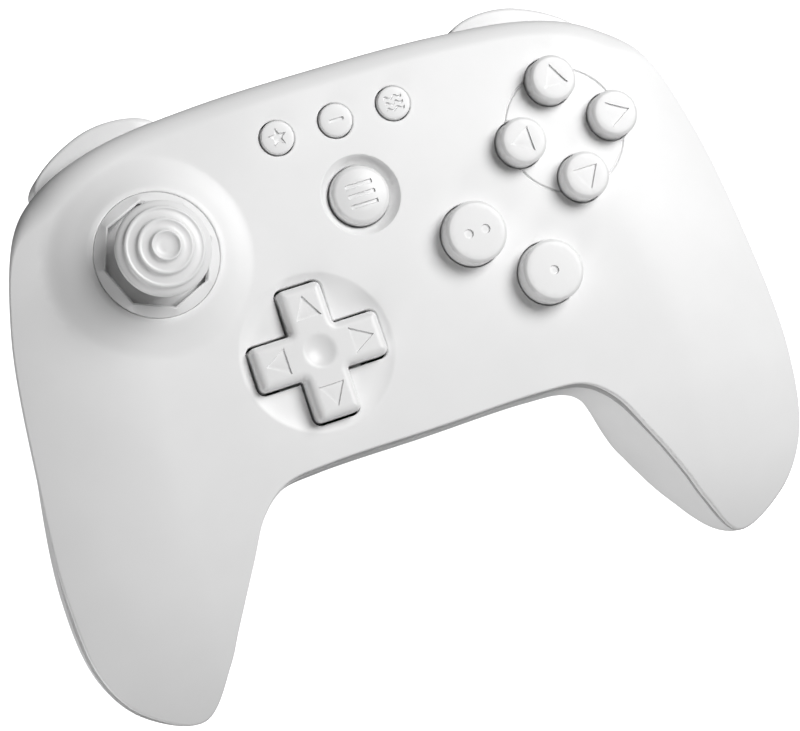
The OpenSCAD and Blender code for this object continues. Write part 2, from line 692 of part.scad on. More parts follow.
module stick_cross_yoke() {
    color("dimgray") at_place() translate(stick_at) difference() {
        union() {
            cube([10, 5, 3], center = true);
            rod_x(yoke_pin_r, -housing_half, housing_half);
        }
        cube([5.4, 2.2, 4], center = true);
        rod_y(cross_pin_r + pin_fit, -3, 3);
    }
}
module stick_arch_yoke() {
    arch_out = 6.3;
    arch_in = 5;
    arch_w = 5.6;
    color("gray") at_place() translate(stick_at) difference() {
        union() {
            intersection() {
                difference() {
                    rod_x(arch_out, -arch_w / 2, arch_w / 2);
                    rod_x(arch_in, -arch_w, arch_w);
                }
                block([-9, 9], [-9, 9], [-0.9, 9]);
            }
            for (y = [-1, 1]) translate([0, y * (housing_half + arch_in) / 2, 0])
                rod_y(yoke_pin_r, -(housing_half - arch_in) / 2, (housing_half - arch_in) / 2);
        }
        block([-1, 1] * (shaft_r + 0.3), [-4.1, 4.1], [1, 9]);
    }
}
module stick_housing() {
    lift = stick_at[2];
    color("dimgray") at_place() translate([stick_at[0], stick_at[1], 0]) difference() {
        union() {
            intersection() {
                block([-1, 1] * housing_half, [-1, 1] * housing_half, [housing_low, housing_top]);
                rod(housing_r, housing_low, housing_top);
            }
            for (x = [-1, 1]) block([x * 9 - 2.2, x * 9 + 2.2], [-3, 3], [board_top, board_top + 0.9]);
        }
        block([-6.7, 6.7], [-6.7, 6.7], [housing_low + 1, 0]);
        translate([0, 0, lift]) rod_x(yoke_pin_r + pin_fit, -housing_half - 1, housing_half + 1);
        translate([0, 0, lift]) rod_y(yoke_pin_r + pin_fit, -housing_half - 1, housing_half + 1);
    }
}
module stick_sensors() {
    color("green") at_place() translate([stick_at[0], stick_at[1], 0]) {
        block([housing_half, housing_half + 1], [-3.6, 3.6], [housing_low + 0.6, board_under - 0.3]);
        block([-3.6, 3.6], [-housing_half - 1, -housing_half], [housing_low + 0.6, board_under - 0.3]);
    }
}

// Direction pad: the cross rocks on a cup that rocks on the ball of a post
module triangle(r) { polygon([for (a = [0, 120, 240]) r * [cos(a), sin(a)]]); }
module direction_pad() {
    top = dpad_top - dpad_at[2];
    flange_up = seat_z - dpad_at[2] - dpad_flange_r * sin(dpad_tilt) - flange_gap;
    edge = 1;
    color("white") at_place() translate(dpad_at) difference() {
        union() {
            for (a = [0:30:90])
                let (inset = 2 * edge * (1 - cos(a)))
                translate([0, 0, flange_up - flange_t])
                    linear_extrude(top - edge + edge * sin(a) - flange_up + flange_t)
                        polygon(cross_outline(dpad_l - inset, dpad_arm - inset));
            rod(dpad_flange_r, flange_up - flange_t, flange_up);
            rod(cup_r + 1.2, -0.6, flange_up);
            for (a = [0:90:270]) rotate(a) translate([pad_press_r, 0, 0]) rod(1.6, -0.8, flange_up);
        }
        sphere(r = cup_r + pin_fit);
        rod(cup_r + pin_fit, -2, 0);
        translate([0, 0, top + 6]) sphere(r = 6.7);
        for (a = [0:90:270]) rotate(a)
            translate([dpad_l * 0.31, 0, top - mark_deep]) linear_extrude(1) triangle(2.9);
    }
}
module pad_pivot_cup() {
    color("gray") at_place() translate(dpad_at) difference() {
        intersection() {
            sphere(r = cup_r);
            block([-4, 4], [-4, 4], [-0.4, 4]);
        }
        sphere(r = ball_r + pin_fit);
        rod(ball_r + pin_fit, -2, 0);
    }
}
module pad_pivot_post() {
    color("gray") at_place() translate(dpad_at) {
        sphere(r = ball_r);
        rod(1, board_top - dpad_at[2], 0);
        rod(post_foot_r, board_top - dpad_at[2], board_top - dpad_at[2] + 1.2);
    }
}

// Rubber sheet with hollow domes under the plungers, each with a contact pill that stops at its travel
module rubber_dome(r, top, travel) {
    roof = top - sheet_t;
    foot = board_top + 0.1;
    rotate_extrude() polygon([
        [0, top], [r, top], [r + 0.9, board_top + sheet_t], [r + 0.9, foot], [r + 0.2, foot],
        [r - 0.6, roof], [r / 2, roof], [r / 2, board_top + travel], [0, board_top + travel]
    ]);
}
module sheet_disc(r) { rod(r, board_top, board_top + sheet_t); }
module membrane(places, r, top, travel) {
    difference() {
        children();
        for (p = places) translate(p) rod(r + 0.4, board_top - 1, 0);
    }
    for (p = places) translate(p) rubber_dome(r, top, travel);
}
pad_press_r = 7.4;
module pad_membrane() {
    places = [for (a = [0:90:270]) pad_press_r * [cos(a), sin(a)]];
    color("silver") at_place() translate([dpad_at[0], dpad_at[1], 0])
        membrane(places, 1.8, dome_top - 0.4, pad_press_r * sin(dpad_tilt)) difference() {
            sheet_disc(11.6);
            rod(post_foot_r + 0.2, board_top - 1, 0);
        }
}
module menu_membrane() {
    post_gap = board_post_r + 0.3;
    half = min(3.5, BOARD_SCREWS[0][1] - post_gap - menu_y);
    disc_r = min(3.5, norm(BOARD_SCREWS[0] - [menu_pitch, menu_y]) - post_gap);
    places = [for (i = [0:3]) PUSH_HOLES[i][0]];
    color("silver") at_place() membrane(places, 2, dome_top, menu_travel) union() {
        sheet_disc(6);
        block([-1, 1] * (menu_pitch + 4), [menu_y - half, menu_y + half], [board_top, board_top + sheet_t]);
        block([-3, 3], [0, menu_y], [board_top, board_top + sheet_t]);
        for (i = [1:3]) translate(places[i]) sheet_disc(disc_r);
    }
}
module ring_membrane() {
    color("silver") at_place() membrane([for (i = [0:3]) ring_place(i)], 2.4, dome_top, button_travel)
        translate(ring_at) sheet_disc(ring_r + 4.2);
}
module action_membrane() {
    mid = (upper_at + lower_at) / 2;
    span = lower_at - upper_at;
    color("silver") at_place() membrane([upper_at, lower_at], 2.6, dome_top, button_travel) union() {
        for (p = [upper_at, lower_at]) translate(p) sheet_disc(6);
        translate([mid[0], mid[1], board_top + sheet_t / 2]) rotate(atan2(span[1], span[0]))
            cube([norm(span), 8, sheet_t], center = true);
    }
}

// Push button: plunger, flange under the shell, body and bevelled top
module push_button(d, top, bevel_top, plunger_r, over = flange_over) {
    r = d / 2;
    rotate_extrude() polygon([
        [0, plunger_end], [plunger_r, plunger_end], [plunger_r, flange_top - flange_t],
        [r + over, flange_top - flange_t], [r + over, flange_top], [r, flange_top],
        [r, top - bevel_top], [r - bevel_top * 0.4, top - bevel_top * 0.3], [r - bevel_top, top], [0, top]
    ]);
}
mark_deep = 0.35;
module start_button() {
    top = 0.1;
    dome = 0.7;
    r = start_d / 2;
    ball = (r * r + dome * dome) / (2 * dome);
    color("white") at_place() difference() {
        intersection() {
            push_button(start_d, top + dome, 0.4, 2);
            translate([0, 0, top + dome - ball]) sphere(r = ball, $fn = 96);
        }
        for (i = [-1, 0, 1]) translate([0, i * 1.9, top + dome - mark_deep])
            block([-2.7, 2.7], [-0.4, 0.4], [0, 2]);
    }
}
menu_rise = 0.8;
module menu_button(i) {
    at = [i * menu_pitch, menu_y];
    top = skin_z(at) + menu_rise;
    color("white") at_place() translate(at) difference() {
        push_button(menu_d, top, 0.4, 1.6, menu_flange_over);
        translate([0, 0, top - mark_deep]) linear_extrude(2) children();
    }
}
module star(r) {
    polygon([for (i = [0:9]) (i % 2 == 0 ? r : r * 0.45) * [cos(90 + 36 * i), sin(90 + 36 * i)]]);
}
module wave(l, amp, t) {
    n = 12;
    side_of = function(s) [for (i = [0:n]) [l * (i / n - 0.5), amp * sin(720 * i / n) + s * t / 2]];
    polygon(concat(side_of(1), [for (i = [n:-1:0]) side_of(-1)[i]]));
}
module star_button() { menu_button(-1) star(1.9); }
module minus_button() { menu_button(0) square([3, 0.7], center = true); }
module wave_button() {
    menu_button(1) for (y = [-1, 0, 1]) translate([0, y * 1.1]) wave(3.6, 0.25, 0.45);
}
module ring_button(i) {
    at = ring_place(i);
    top = skin_z(at) + button_rise;
    color("white") at_place() translate(at) difference() {
        push_button(ring_button_d, top, 0.6, 2.2);
        translate([0, 0, top - mark_deep]) linear_extrude(2) rotate(90 - 90 * i) triangle(2.9);
    }
}
module ring_button_up() { ring_button(0); }
module ring_button_right() { ring_button(1); }
module ring_button_down() { ring_button(2); }
module ring_button_left() { ring_button(3); }
module action_button(at) {
    top = skin_z(at) + button_rise + 0.3;
    color("white") at_place() translate(at) difference() {
        push_button(action_d, top, 0.6, 2.4);
        translate([0, 0, top - mark_deep]) linear_extrude(2) children();
    }
}
dot_r = 0.9;
module upper_action_button() {
    action_button(upper_at) for (x = [-1.7, 1.7]) translate([x, 0]) circle(r = dot_r);
}
module lower_action_button() { action_button(lower_at) circle(r = dot_r); }

// Board and what sits on it
module board_outline() {
    board_far = far_y * ky - tuck_max - wall - 2 * switch_gap;
    half = [
        [19, board_far / ky], [19, 13.5], [47.5, 13.5], [58, 5.5], [63, -10], [63, -26], [46, -35.4],
        [24, -35.4], [18, bar_back / ky]
    ];
    right = [for (p = half) [p[0] * kx, p[1] * ky]];
    left = [for (i = [len(half) - 1:-1:0]) [-right[i][0], right[i][1]]];
    polygon(concat(right, left));
}
module main_board() {
    color("darkgreen") at_place() difference() {
        translate([0, 0, board_under]) linear_extrude(board_t) board_outline();
        translate([stick_at[0], stick_at[1], -20]) linear_extrude(20)
            square(2 * housing_half + 0.8, center = true);
        both_sides() for (s = BOARD_SCREWS) translate(s) rod(screw_r + 0.2, -20, 0);
    }
}
module board_chips() {
    color("black") at_place() {
        block([-6, 6], [-2, 8], [board_under - 1.2, board_under]);
        block([14, 20], [-12, -6], [board_under - 1, board_under]);
        block([-18, -10], [-22, -17], [board_under - 1, board_under]);
    }
}
module bumper_switches() {
    t = (bumper_from + bumper_to) / 2 + 0.35;
    p = band_point(t, -bumper_depth);
    n = seam_normal(t);
    turn = atan2(n[1], n[0]) - 90;
    color("dimgray") at_place() both_sides() translate([p[0], p[1], 0]) rotate(turn) {
        block([-3, 3], [-4.9, -2.8], [board_under - 3.4, board_under]);
        translate([0, 0, board_under - 1.7]) rod_y(0.9, -2.8, -1.4);
    }
}
module trigger_switches() {
    y = trigger_hinge[0] - trigger_drum_r + 1;
    near = max(-3.4, stick_at[1] + housing_half + switch_gap - y);
    color("dimgray") at_place() both_sides() translate([trigger_x + 4, y + near, 0]) {
        block([-3, 3], [0, 4.4], [board_under - 3, board_under]);
        translate([0, 2.2, 0]) rod(0.9, board_under - 4, board_under - 3);
    }
}
module usb_port() {
    inner_w = port_w - 2 * port_wall;
    inner_h = port_h - 2 * port_wall;
    color("silver") at_place() translate([0, port_y - port_l, port_z]) {
        difference() {
            stadium(port_w, port_h, port_l);
            translate([0, 1, 0]) stadium(inner_w, inner_h, port_l);
        }
        block([-3.3, 3.3], [0.5, port_l - 0.8], [-0.35, 0.35]);
    }
}
module pair_button() {
    flange = -far_inside - 0.5;
    color("white") at_place() translate([pair_x, far_wall, pair_z]) {
        rod_y(pair_r, flange - 0.6, far_out);
        rod_y(pair_r + 0.7, flange - 0.6, flange);
    }
}
module pair_switch() {
    stem = -far_inside - 1.1 - pair_travel - 0.05;
    color("dimgray") at_place() translate([pair_x, far_wall, pair_z]) {
        block([-2.2, 2.2], [stem - 4, stem - 0.5], [-0.6, board_under - pair_z]);
        rod_y(0.5, stem - 0.5, stem);
    }
}
module mode_slider() {
    color("white") at_place() translate([mode_x, far_wall, port_z]) {
        block([-1, 1] * mode_w / 2, [-far_inside - 0.4, far_out], [-1, 1] * mode_h / 2);
        block([-1, 1], [-far_inside - 2, -far_inside - 0.4], [-1, 1] * 0.6);
    }
}
module mode_switch_body() {
    front = -far_inside - 0.6;
    color("silver") at_place() translate([mode_x, far_wall, port_z]) difference() {
        block([-3.8, 3.8], [front - 4.6, front], [-1.6, board_under - port_z]);
        block([-1, 1] * (1.2 + mode_travel), [front - 1.6, front + 1], [-0.75, 0.75]);
    }
}
module light_bar() {
    color("lightcyan") at_place() union() {
        block([-8, 8], [near_y + bar_front, bar_back], [board_under, board_top + 1.2]);
        lamp_slots(0, near_y + 0.5, near_y + bar_front + 0.2);
    }
}
module status_lamps() {
    color("khaki") at_place() for (i = [-1.5:1.5])
        translate([i * lamp_pitch, bar_back, board_top]) block([-0.8, 0.8], [0.2, 1.4], [0, 0.7]);
}
module battery_cell() {
    color("steelblue") at_place() translate([0, cell_y, cell_z])
        block([-1, 1] * cell[0] / 2, [-1, 1] * cell[1] / 2, [0, cell[2]]);
}
lead_x = 16;
module battery_lead() {
    color("red") at_place() for (x = [-0.8, 0.8])
        translate([lead_x + x, cell_y + cell[1] / 2 - 4, 0]) rod(0.55, cell_z + cell[2], board_under - 2.6);
}
module battery_connector() {
    color("ivory") at_place() translate([lead_x, cell_y + cell[1] / 2 - 4, 0])
        block([-2.4, 2.4], [-2, 2], [board_under - 2.6, board_under]);
}
module rumble_motor() {
    translate(motor_at) difference() {
        rod_y(motor_r, 0, motor_l);
        rod_y(motor_shaft_r + pin_fit, -1, 6);
    }
}
module rumble_weight() {
    translate(motor_at) {
        rod_y(motor_shaft_r, -weight_t - 1.2, 5.5);
        intersection() {
            rod_y(weight_r, -weight_t - 0.8, -0.8);
            block([-9, 9], [-20, 0], [-9, 0.6]);
        }
    }
}
module left_rumble_motor() { color("silver") at_place() side(-1) rumble_motor(); }
module right_rumble_motor() { color("silver") at_place() side(1) rumble_motor(); }
module left_rumble_weight() { color("dimgray") at_place() side(-1) rumble_weight(); }
module right_rumble_weight() { color("dimgray") at_place() side(1) rumble_weight(); }

// Screw with its head down, the shank starting at z = 0
module screw(l, head_r, head_h) {
    rod(screw_r, 0, l);
    difference() {
        rod(head_r, -head_h, 0);
        for (a = [0, 90]) rotate(a) translate([0, 0, -head_h])
            cube([head_r * 1.1, 0.6, 1.4], center = true);
    }
}
module shell_screws() {
    color("silver") at_place() both_sides() for (s = SHELL_SCREWS)
        translate([s[0], s[1], s[2] - 4]) screw(screw_l, screw_head_r, screw_head_h);
}
module board_screws() {
    color("silver") at_place() both_sides() for (s = BOARD_SCREWS)
        translate([s[0], s[1], board_under]) screw(board_screw_l, board_head_r, 1.2);
}

front_shell();
rear_shell();
stick_gate_ring();
thumbstick();
stick_shaft();
stick_cross_yoke();
stick_arch_yoke();
stick_housing();
stick_sensors();
direction_pad();
pad_pivot_cup();
pad_pivot_post();
pad_membrane();
start_button();
star_button();
minus_button();
wave_button();
menu_membrane();
ring_button_up();
ring_button_right();
ring_button_down();
ring_button_left();
ring_membrane();
upper_action_button();
lower_action_button();
action_membrane();
left_bumper();
right_bumper();
left_trigger();
right_trigger();
left_trigger_pin();
right_trigger_pin();
left_trigger_spring();
right_trigger_spring();
bumper_switches();
trigger_switches();
main_board();
board_chips();
usb_port();
pair_button();
pair_switch();
mode_slider();
mode_switch_body();
light_bar();
status_lamps();
battery_cell();
battery_lead();
battery_connector();
left_rumble_motor();
right_rumble_motor();
left_rumble_weight();
right_rumble_weight();
shell_screws();
board_screws();
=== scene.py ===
"""Looks of a wireless gamepad: smooth shells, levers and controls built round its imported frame."""

import math

import bmesh
import bpy
import numpy as np
from mathutils import Matrix, Vector
from mathutils.bvhtree import BVHTree
from mathutils.geometry import delaunay_2d_cdt
from mathutils.kdtree import KDTree


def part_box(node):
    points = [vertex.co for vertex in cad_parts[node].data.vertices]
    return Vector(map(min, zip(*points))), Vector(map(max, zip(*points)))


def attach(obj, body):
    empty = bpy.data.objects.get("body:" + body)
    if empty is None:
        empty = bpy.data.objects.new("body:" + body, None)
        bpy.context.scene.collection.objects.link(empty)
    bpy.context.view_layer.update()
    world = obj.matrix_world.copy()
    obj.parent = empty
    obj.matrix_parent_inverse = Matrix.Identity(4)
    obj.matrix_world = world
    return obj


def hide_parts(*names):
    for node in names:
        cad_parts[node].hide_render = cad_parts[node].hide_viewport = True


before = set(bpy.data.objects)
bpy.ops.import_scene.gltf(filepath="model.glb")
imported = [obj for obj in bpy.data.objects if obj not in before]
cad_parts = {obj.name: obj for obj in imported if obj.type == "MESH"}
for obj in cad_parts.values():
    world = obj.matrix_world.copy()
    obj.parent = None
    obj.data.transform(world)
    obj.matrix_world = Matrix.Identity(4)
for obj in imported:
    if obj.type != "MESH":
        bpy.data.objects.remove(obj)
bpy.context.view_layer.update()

bl_info = {
    "name": "Gamepad look",
    "version": (1, 0, 0),
    "blender": (4, 5, 0),
    "location": "3D View > Sidebar > Gamepad",
    "description": "Builds the finished pieces of a wireless gamepad round its frame",
    "category": "Object",
}

MM = 0.001

# Everything below is drawn in millimetres from the middle of the start button on the face
START_TOP = 0.8
_low, _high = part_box("start_button")
ORIGIN = np.array([(_low.x + _high.x) / 2, (_low.y + _high.y) / 2, _high.z]) / MM - [0, 0, START_TOP]

# The parting line of the right half: x, y, height of the seam, radius of the front edge
SEAM = np.array([
    [0, 25.7, -10, 4.5], [24, 25.2, -10, 4.5], [43, 23.1, -10, 4.5], [55.4, 18.7, -10, 5],
    [62.7, 12.1, -10, 4.5], [68.9, -5, -9.8, 3.5], [72.6, -30, -11, 3], [74.6, -52.6, -14.4, 3],
    [72.6, -69, -18, 2.6], [66.6, -78, -20.8, 2.2], [55.6, -82.4, -21.5, 2], [49, -74.1, -15.6, 2],
    [46, -68.3, -10.3, 2], [40, -57.6, -7, 2], [35.5, -51.1, -5.8, 2], [29.7, -47.2, -5.4, 2],
    [22, -46.3, -5.4, 2], [0, -46.3, -5.4, 2],
])
# What mirrors a seam point to the other half, and the count of spans on each side of a grip
GHOST = np.array([-1, 1, 1, 1])
OUTER_SPANS = 10
INNER_SPANS = 7

# Shares of the way from the middle plane to a grip's tip, each with its start and end: where the edge
# turns crisp, where it rounds the tip, where the back comes out from under the face on the outer side
# and goes in again, and where the ledge between the grips ends on the inner side
CRISP_SPAN = (0.32, 0.46)
TIP_SPAN = (0.88, 1)
SHOWN_SPAN = (0.56, 0.74)
HIDDEN_SPAN = (0.9, 1)
NEAR_SPAN = (0.3, 0.62)

# Shells: wall, how far the back tucks in where the edge is broad, radii of the edge, and how far the
# seam lies below the face on the inner side, the outer side and the tip of a grip
WALL = 2.2
TUCK = 1.1
SIDE_EDGE = 1.7
CRISP_EDGE = 0.45
CRISP_WALL = 2.2
OUTER_WALL = 0.8
TIP_WALL = 0.8
# Seam: half its width, its depth, how far the foot of the front shell stands in, the ledges on the near
# and the outer side, and how far the rim of the rear shell stands out there
SEAM_GAP = 0.32
SEAM_DEEP = 1.4
SEAM_FOOT = 0.25
NEAR_LEDGE = 1.15
OUTER_LEDGE = 0.6
SEAM_STEP = 0.4
# Widest roll from the side to the back, and the most of the way to the middle line that it takes
ROLL = 16
ROLL_SHARE = 0.8
# Heights: the foot of the wall of a hole, the top of a button's flange, the end of a plunger
SEAT_Z = -4.2
FLANGE_TOP = -4.45
PLUNGER_END = -7.45

# Stick: the middle of its ball, the top of its cap above that, the radius and wall of its domed skirt
STICK = np.array([-40.4, 0.2, -10])
STICK_TOP = 22.2
SKIRT_R = 13.6
SKIRT_WALL = 1.3
# Gate ring: radius, gap round it, half the width over its flats, top, underside, points round it; then
# the ledge under it and the flare of the face round it, as radius and height
GATE_R = 11.5
GATE_GAP = 0.05
GATE_FLAT = 9.25
GATE_TOP = 3
GATE_LOW = 0.6
GATE_STEPS = 160
GATE_LEDGE = [(10.4, GATE_LOW), (10.4, -0.2), (11.2, -0.2), (12.2, -0.8)]
FLARE = [
    [8, 2], [11, 2], [12.4, 1.85], [13.6, 1.3], [14.8, 0.7], [16, 0.1], [17.2, -0.6], [18.4, -1.5],
    [20, -2.9], [24, -6.6],
]
# Direction pad: its pivot, top, half length and half width of the arms, radius of their corners and of
# the top edge, gap round it, place of the marks, thumb dimple, top of the flange
PAD = np.array([-17.3, -25.2, -6.6])
PAD_TOP = 1.3
PAD_HALF = 12.5
PAD_ARM = 4.2
PAD_CORNER = 1.2
PAD_EDGE = 1.4
PAD_GAP = 0.5
PAD_MARK_AT = 7.75
DIMPLE_R = 6.7
DIMPLE_DEEP = 0.7
PAD_FLANGE = -5.09
# Bowls round the direction pad and the start button: radius, depth, how late the floor levels out
PAD_DISH = (14.6, 0.75, 6)
START_DISH = (7.6, 5, 2)
# Groove round the ring buttons: its middle, radius, half width and depth
RING = np.array([42, 0.3])
GROOVE_R = 11.8
GROOVE_HALF = 0.26
GROOVE_DEEP = 0.42
# Push buttons: the gap round each, how far the flanges stand out, the crown of the start button
BUTTON_GAP = 0.25
FLANGE = 1
MENU_FLANGE = 0.7
START_CROWN = 0.7
# Sunk marks: depth, width of the sloping wall, radius of a triangle, radius of a dot
MARK_DEEP = 0.35
MARK_WALL = 0.09
TRIANGLE_R = 2.9
DOT_R = 0.9

# Each push button: its node, place, diameter, rise above the face, plunger radius
BUTTONS = {
    "start_button": ((0, 0), 11.2, 0.8, 2),
    "star_button": ((-11.65, 14.5), 6.3, 0.8, 1.6),
    "minus_button": ((0, 14.5), 6.3, 0.8, 1.6),
    "wave_button": ((11.65, 14.5), 6.3, 0.8, 1.6),
    "ring_button_up": ((42, 9.9), 9, 3.7, 2.2),
    "ring_button_right": ((51.6, 0.3), 9, 3.7, 2.2),
    "ring_button_down": ((42, -9.3), 9, 3.7, 2.2),
    "ring_button_left": ((32.4, 0.3), 9, 3.7, 2.2),
    "upper_action_button": ((17.8, -13.3), 11.7, 4, 2.4),
    "lower_action_button": ((29.8, -24.4), 11.7, 4, 2.4),
}
# Bumpers: swell, depth behind the seam, lower and upper face, edge radius, pin, steps along each side;
# then the gap round bumpers and triggers
BUMPER_OUT = 4.6
BUMPER_DEPTH = 6.4
BUMPER_Z = (-19, -10.4)
BUMPER_EDGE = 0.8
BUMPER_PIN = (31.2, 20.5)
BUMPER_STEPS = 56
LEVER_GAP = 0.4
# Triggers: the hinge as y and z, the drum round it, the two sides and the top
HINGE = (15, -22)
DRUM_R = 6.2
TRIGGER_X = (33.6, 53)
TRIGGER_TOP = -19.5
# Openings in the far wall, for the port, the pairing button and the mode slider, and the slits of the
# lamps in the near wall
FAR_WALL = 24.4
PORT_SIZE = (9.54, 3.76)
PORT_Z = -14.18
PAIR_HOLE_R = 1.75
PAIR_AT = (12.5, -15.1)
SLIDER_X = (-17.45, -10.85)
SLIDER_Z = (PORT_Z - 1.3, PORT_Z + 1.3)
NEAR_WALL = (-48.3, -42.3)
LAMP_X = (-5.85, -1.95, 1.95, 5.85)
LAMP_Z = (-12.2, -10.8)
# Screws of the shells on one side: x, y and the top of the tube; radii of the tube, of the well for the
# head and of the hole; how far inside the skin the tube ends
SHELL_SCREWS = [(24, 18.5, -15), (31, -40.5, -15), (60, -66, -22)]
TUBE_R = 4.2
WELL_R = 2.6
SCREW_R = 1.4
TUBE_LIFT = 0.6
# A length that reaches out of the part in any direction
BEYOND = 60

# Soft lights: direction from the start button, distance and size in metres
LIGHTS = {
    "key": ((0.58, 0.24, 0.78), 0.85, 0.46),
    "side": ((-0.6, -0.75, 0.22), 1.2, 0.4),
    "under": ((-0.75, -0.4, -0.5), 1.2, 0.6),
}
# Camera: a rotation vector and a shift in millimetres from the frame of the start button to its own
CAMERA_TURN = (-3.16208, 0.51679, -0.43762)
CAMERA_SHIFT = (-7.182, -31.529, 518.209)
SENSOR = 36


def smooth(a, b, v):
    """Soft step from 0 at a to 1 at b."""
    t = np.clip((np.asarray(v, float) - a) / (b - a), 0, 1)
    return t * t * (3 - 2 * t)


def soft_max(a, b, width):
    """The higher of two surfaces, with a fillet where they cross."""
    h = np.maximum(width - np.abs(a - b), 0) / width
    return np.maximum(a, b) + h * h * width / 4


def soft_min(a, b, width):
    """The lower of two surfaces, with a round where they cross."""
    return -soft_max(-a, -b, width)


def curve_through(points, per=8):
    """Dense centripetal curve through the points, open at both ends."""
    p = np.array(points, float)
    p = np.vstack([2 * p[0] - p[1], p, 2 * p[-1] - p[-2]])
    dense = []
    for i in range(1, len(p) - 2):
        gaps = [np.linalg.norm(p[i + j] - p[i + j - 1]) for j in range(3)]
        k = np.cumsum([0] + [max(gap, 1e-6) ** 0.5 for gap in gaps])
        for t in np.linspace(k[1], k[2], per, endpoint=False):
            dense.append(spline_point(p[i - 1:i + 3], k, t))
    dense.append(p[-2])
    return np.array(dense)


def spline_point(p, k, t):
    """Point at t of the curve through p[1] and p[2], with the knots k of its four points."""
    a = [p[j] * ((k[j + 1] - t) / (k[j + 1] - k[j])) + p[j + 1] * ((t - k[j]) / (k[j + 1] - k[j]))
         for j in range(3)]
    b = [a[j] * ((k[j + 2] - t) / (k[j + 2] - k[j])) + a[j + 1] * ((t - k[j]) / (k[j + 2] - k[j]))
         for j in range(2)]
    return b[0] * ((k[2] - t) / (k[2] - k[1])) + b[1] * ((t - k[1]) / (k[2] - k[1]))


def seam_at(t):
    """Seam point at a place along the half outline: x, y, height, edge radius."""
    i = min(int(t), len(SEAM) - 2)
    before = SEAM[i - 1] if i > 0 else SEAM[1] * GHOST
    after = SEAM[i + 2] if i + 2 < len(SEAM) else SEAM[-2] * GHOST
    p = [before, SEAM[i], SEAM[i + 1], after]
    k = np.cumsum([0] + [np.linalg.norm((p[j + 1] - p[j])[:2]) ** 0.5 for j in range(3)])
    return spline_point(p, k, k[1] + (k[2] - k[1]) * (t - i))


def outer_side(s):
    """Seam point on the outer side, s from the middle plane to the grip tip."""
    return seam_at(OUTER_SPANS * s)


def inner_side(s):
    """Seam point on the inner side, s from the middle plane to the grip tip."""
    return seam_at(OUTER_SPANS + INNER_SPANS * (1 - s))


def middle_line(s):
    """Point between the two sides, ending short of the tip."""
    f = s - 0.2 * s ** 4
    return (outer_side(f)[:2] + inner_side(f)[:2]) / 2


class Rim:
    """The closed parting line with a partner point on the middle line for each of its points."""

    def __init__(self, steps):
        shares = np.linspace(0, 1, steps + 1)
        back = shares[-2::-1]
        seam = [outer_side(s) for s in shares] + [inner_side(s) for s in back]
        middle = [middle_line(s) for s in shares] + [middle_line(s) for s in back]
        inside = slice(len(seam) - 2, 0, -1)

        def whole(outer, inner):
            """Values round the whole rim from those on the outer and the inner side of one half."""
            sides = [np.broadcast_to(outer, shares.shape), np.broadcast_to(inner, back.shape)]
            half = np.concatenate(sides)
            return np.concatenate([half, half[inside]])

        self.seam = np.array(seam + [p * GHOST for p in seam[inside]])
        self.middle = np.array(middle + [p * [-1, 1] for p in middle[inside]])
        self.reach = np.linalg.norm(self.middle - self.seam[:, :2], axis=1)
        x, y, height, edge_r = self.seam.T
        # Past the far corners and all round the grips the edge is crisp, and the seam keeps close below it
        crisp = whole(smooth(*CRISP_SPAN, shares), 1)
        drop = whole(OUTER_WALL, CRISP_WALL)
        drop = drop + (TIP_WALL - drop) * whole(smooth(*TIP_SPAN, shares), smooth(*TIP_SPAN, back))
        # Down the outer side of a grip the back comes out from under the face and shows beyond its edge
        bare = smooth(*SHOWN_SPAN, shares)
        self.tuck = TUCK * np.clip(edge_r - 2, 0, 1) * (1 - whole(bare, 0))
        shown = whole(bare * (1 - smooth(*HIDDEN_SPAN, shares)), 0)
        edge_r = edge_r + (np.minimum(edge_r, SIDE_EDGE) - edge_r) * smooth(14, 2, y)
        self.edge_r = edge_r + (CRISP_EDGE - edge_r) * crisp
        # Between the grips the face stops short of the wall below it, which slopes out to the full outline
        near = whole(0, 1 - smooth(*NEAR_SPAN, back))
        self.ledge = NEAR_LEDGE * near + OUTER_LEDGE * shown
        # There the rim of the back stands proud of the face's edge, so that the seam shows as a dark line
        self.step = SEAM_STEP * np.minimum(1, self.ledge / OUTER_LEDGE)
        self.height = height + (face_z(x, y) - drop - height) * crisp

    def inward(self, distance):
        """The points at a distance from the seam towards the middle line."""
        share = np.minimum(distance / self.reach, 1)[:, None]
        return self.seam[:, :2] + (self.middle - self.seam[:, :2]) * share

    def front_edge(self, angle):
        """Ring of the rounded front edge, from the side wall at 0 to the face at 90 degrees."""
        a = math.radians(angle)
        q = self.inward(self.ledge + self.edge_r * (1 - math.cos(a)))
        return np.column_stack([q, face_z(*q.T) - self.edge_r * (1 - math.sin(a))])

    def rear_point(self, wall, distance, share):
        """Ring of the back at a distance inwards, share of the way down from the seam."""
        q = self.inward(distance)
        back = back_z(*q.T)
        lean = -np.sign(q[:, 0]) * 0.24 * smooth(26, 60, -q[:, 1]) * (-12 - back)
        z = self.height + (back + wall - self.height) * share
        return np.column_stack([q[:, 0] + lean * share ** 1.9, q[:, 1], z])

    def rear_curve(self, wall, angle):
        """Ring of the rolled side, from the seam at 0 to the back at 90 degrees."""
        a = math.radians(angle)
        width = np.minimum(ROLL, ROLL_SHARE * self.reach)
        share = math.sin(a) ** 0.8
        start = wall + self.tuck + self.ledge * (max(0, 1.2 - 3.1 * share) - 0.2 * math.cos(a))
        return self.rear_point(wall, start + (width - start) * (1 - max(math.cos(a), 0) ** 0.8), share)

    def at_seam(self, distance, lift):
        """Ring at a distance inside the seam line and a height above it."""
        return np.column_stack([self.inward(self.tuck + self.ledge + distance), self.height + lift])

    def rear_flat(self, wall, share):
        """Ring of the back, from the end of the roll at 0 to the middle line at 1."""
        width = np.minimum(ROLL, ROLL_SHARE * self.reach)
        return self.rear_point(wall, width + (self.reach - width) * share, 1)


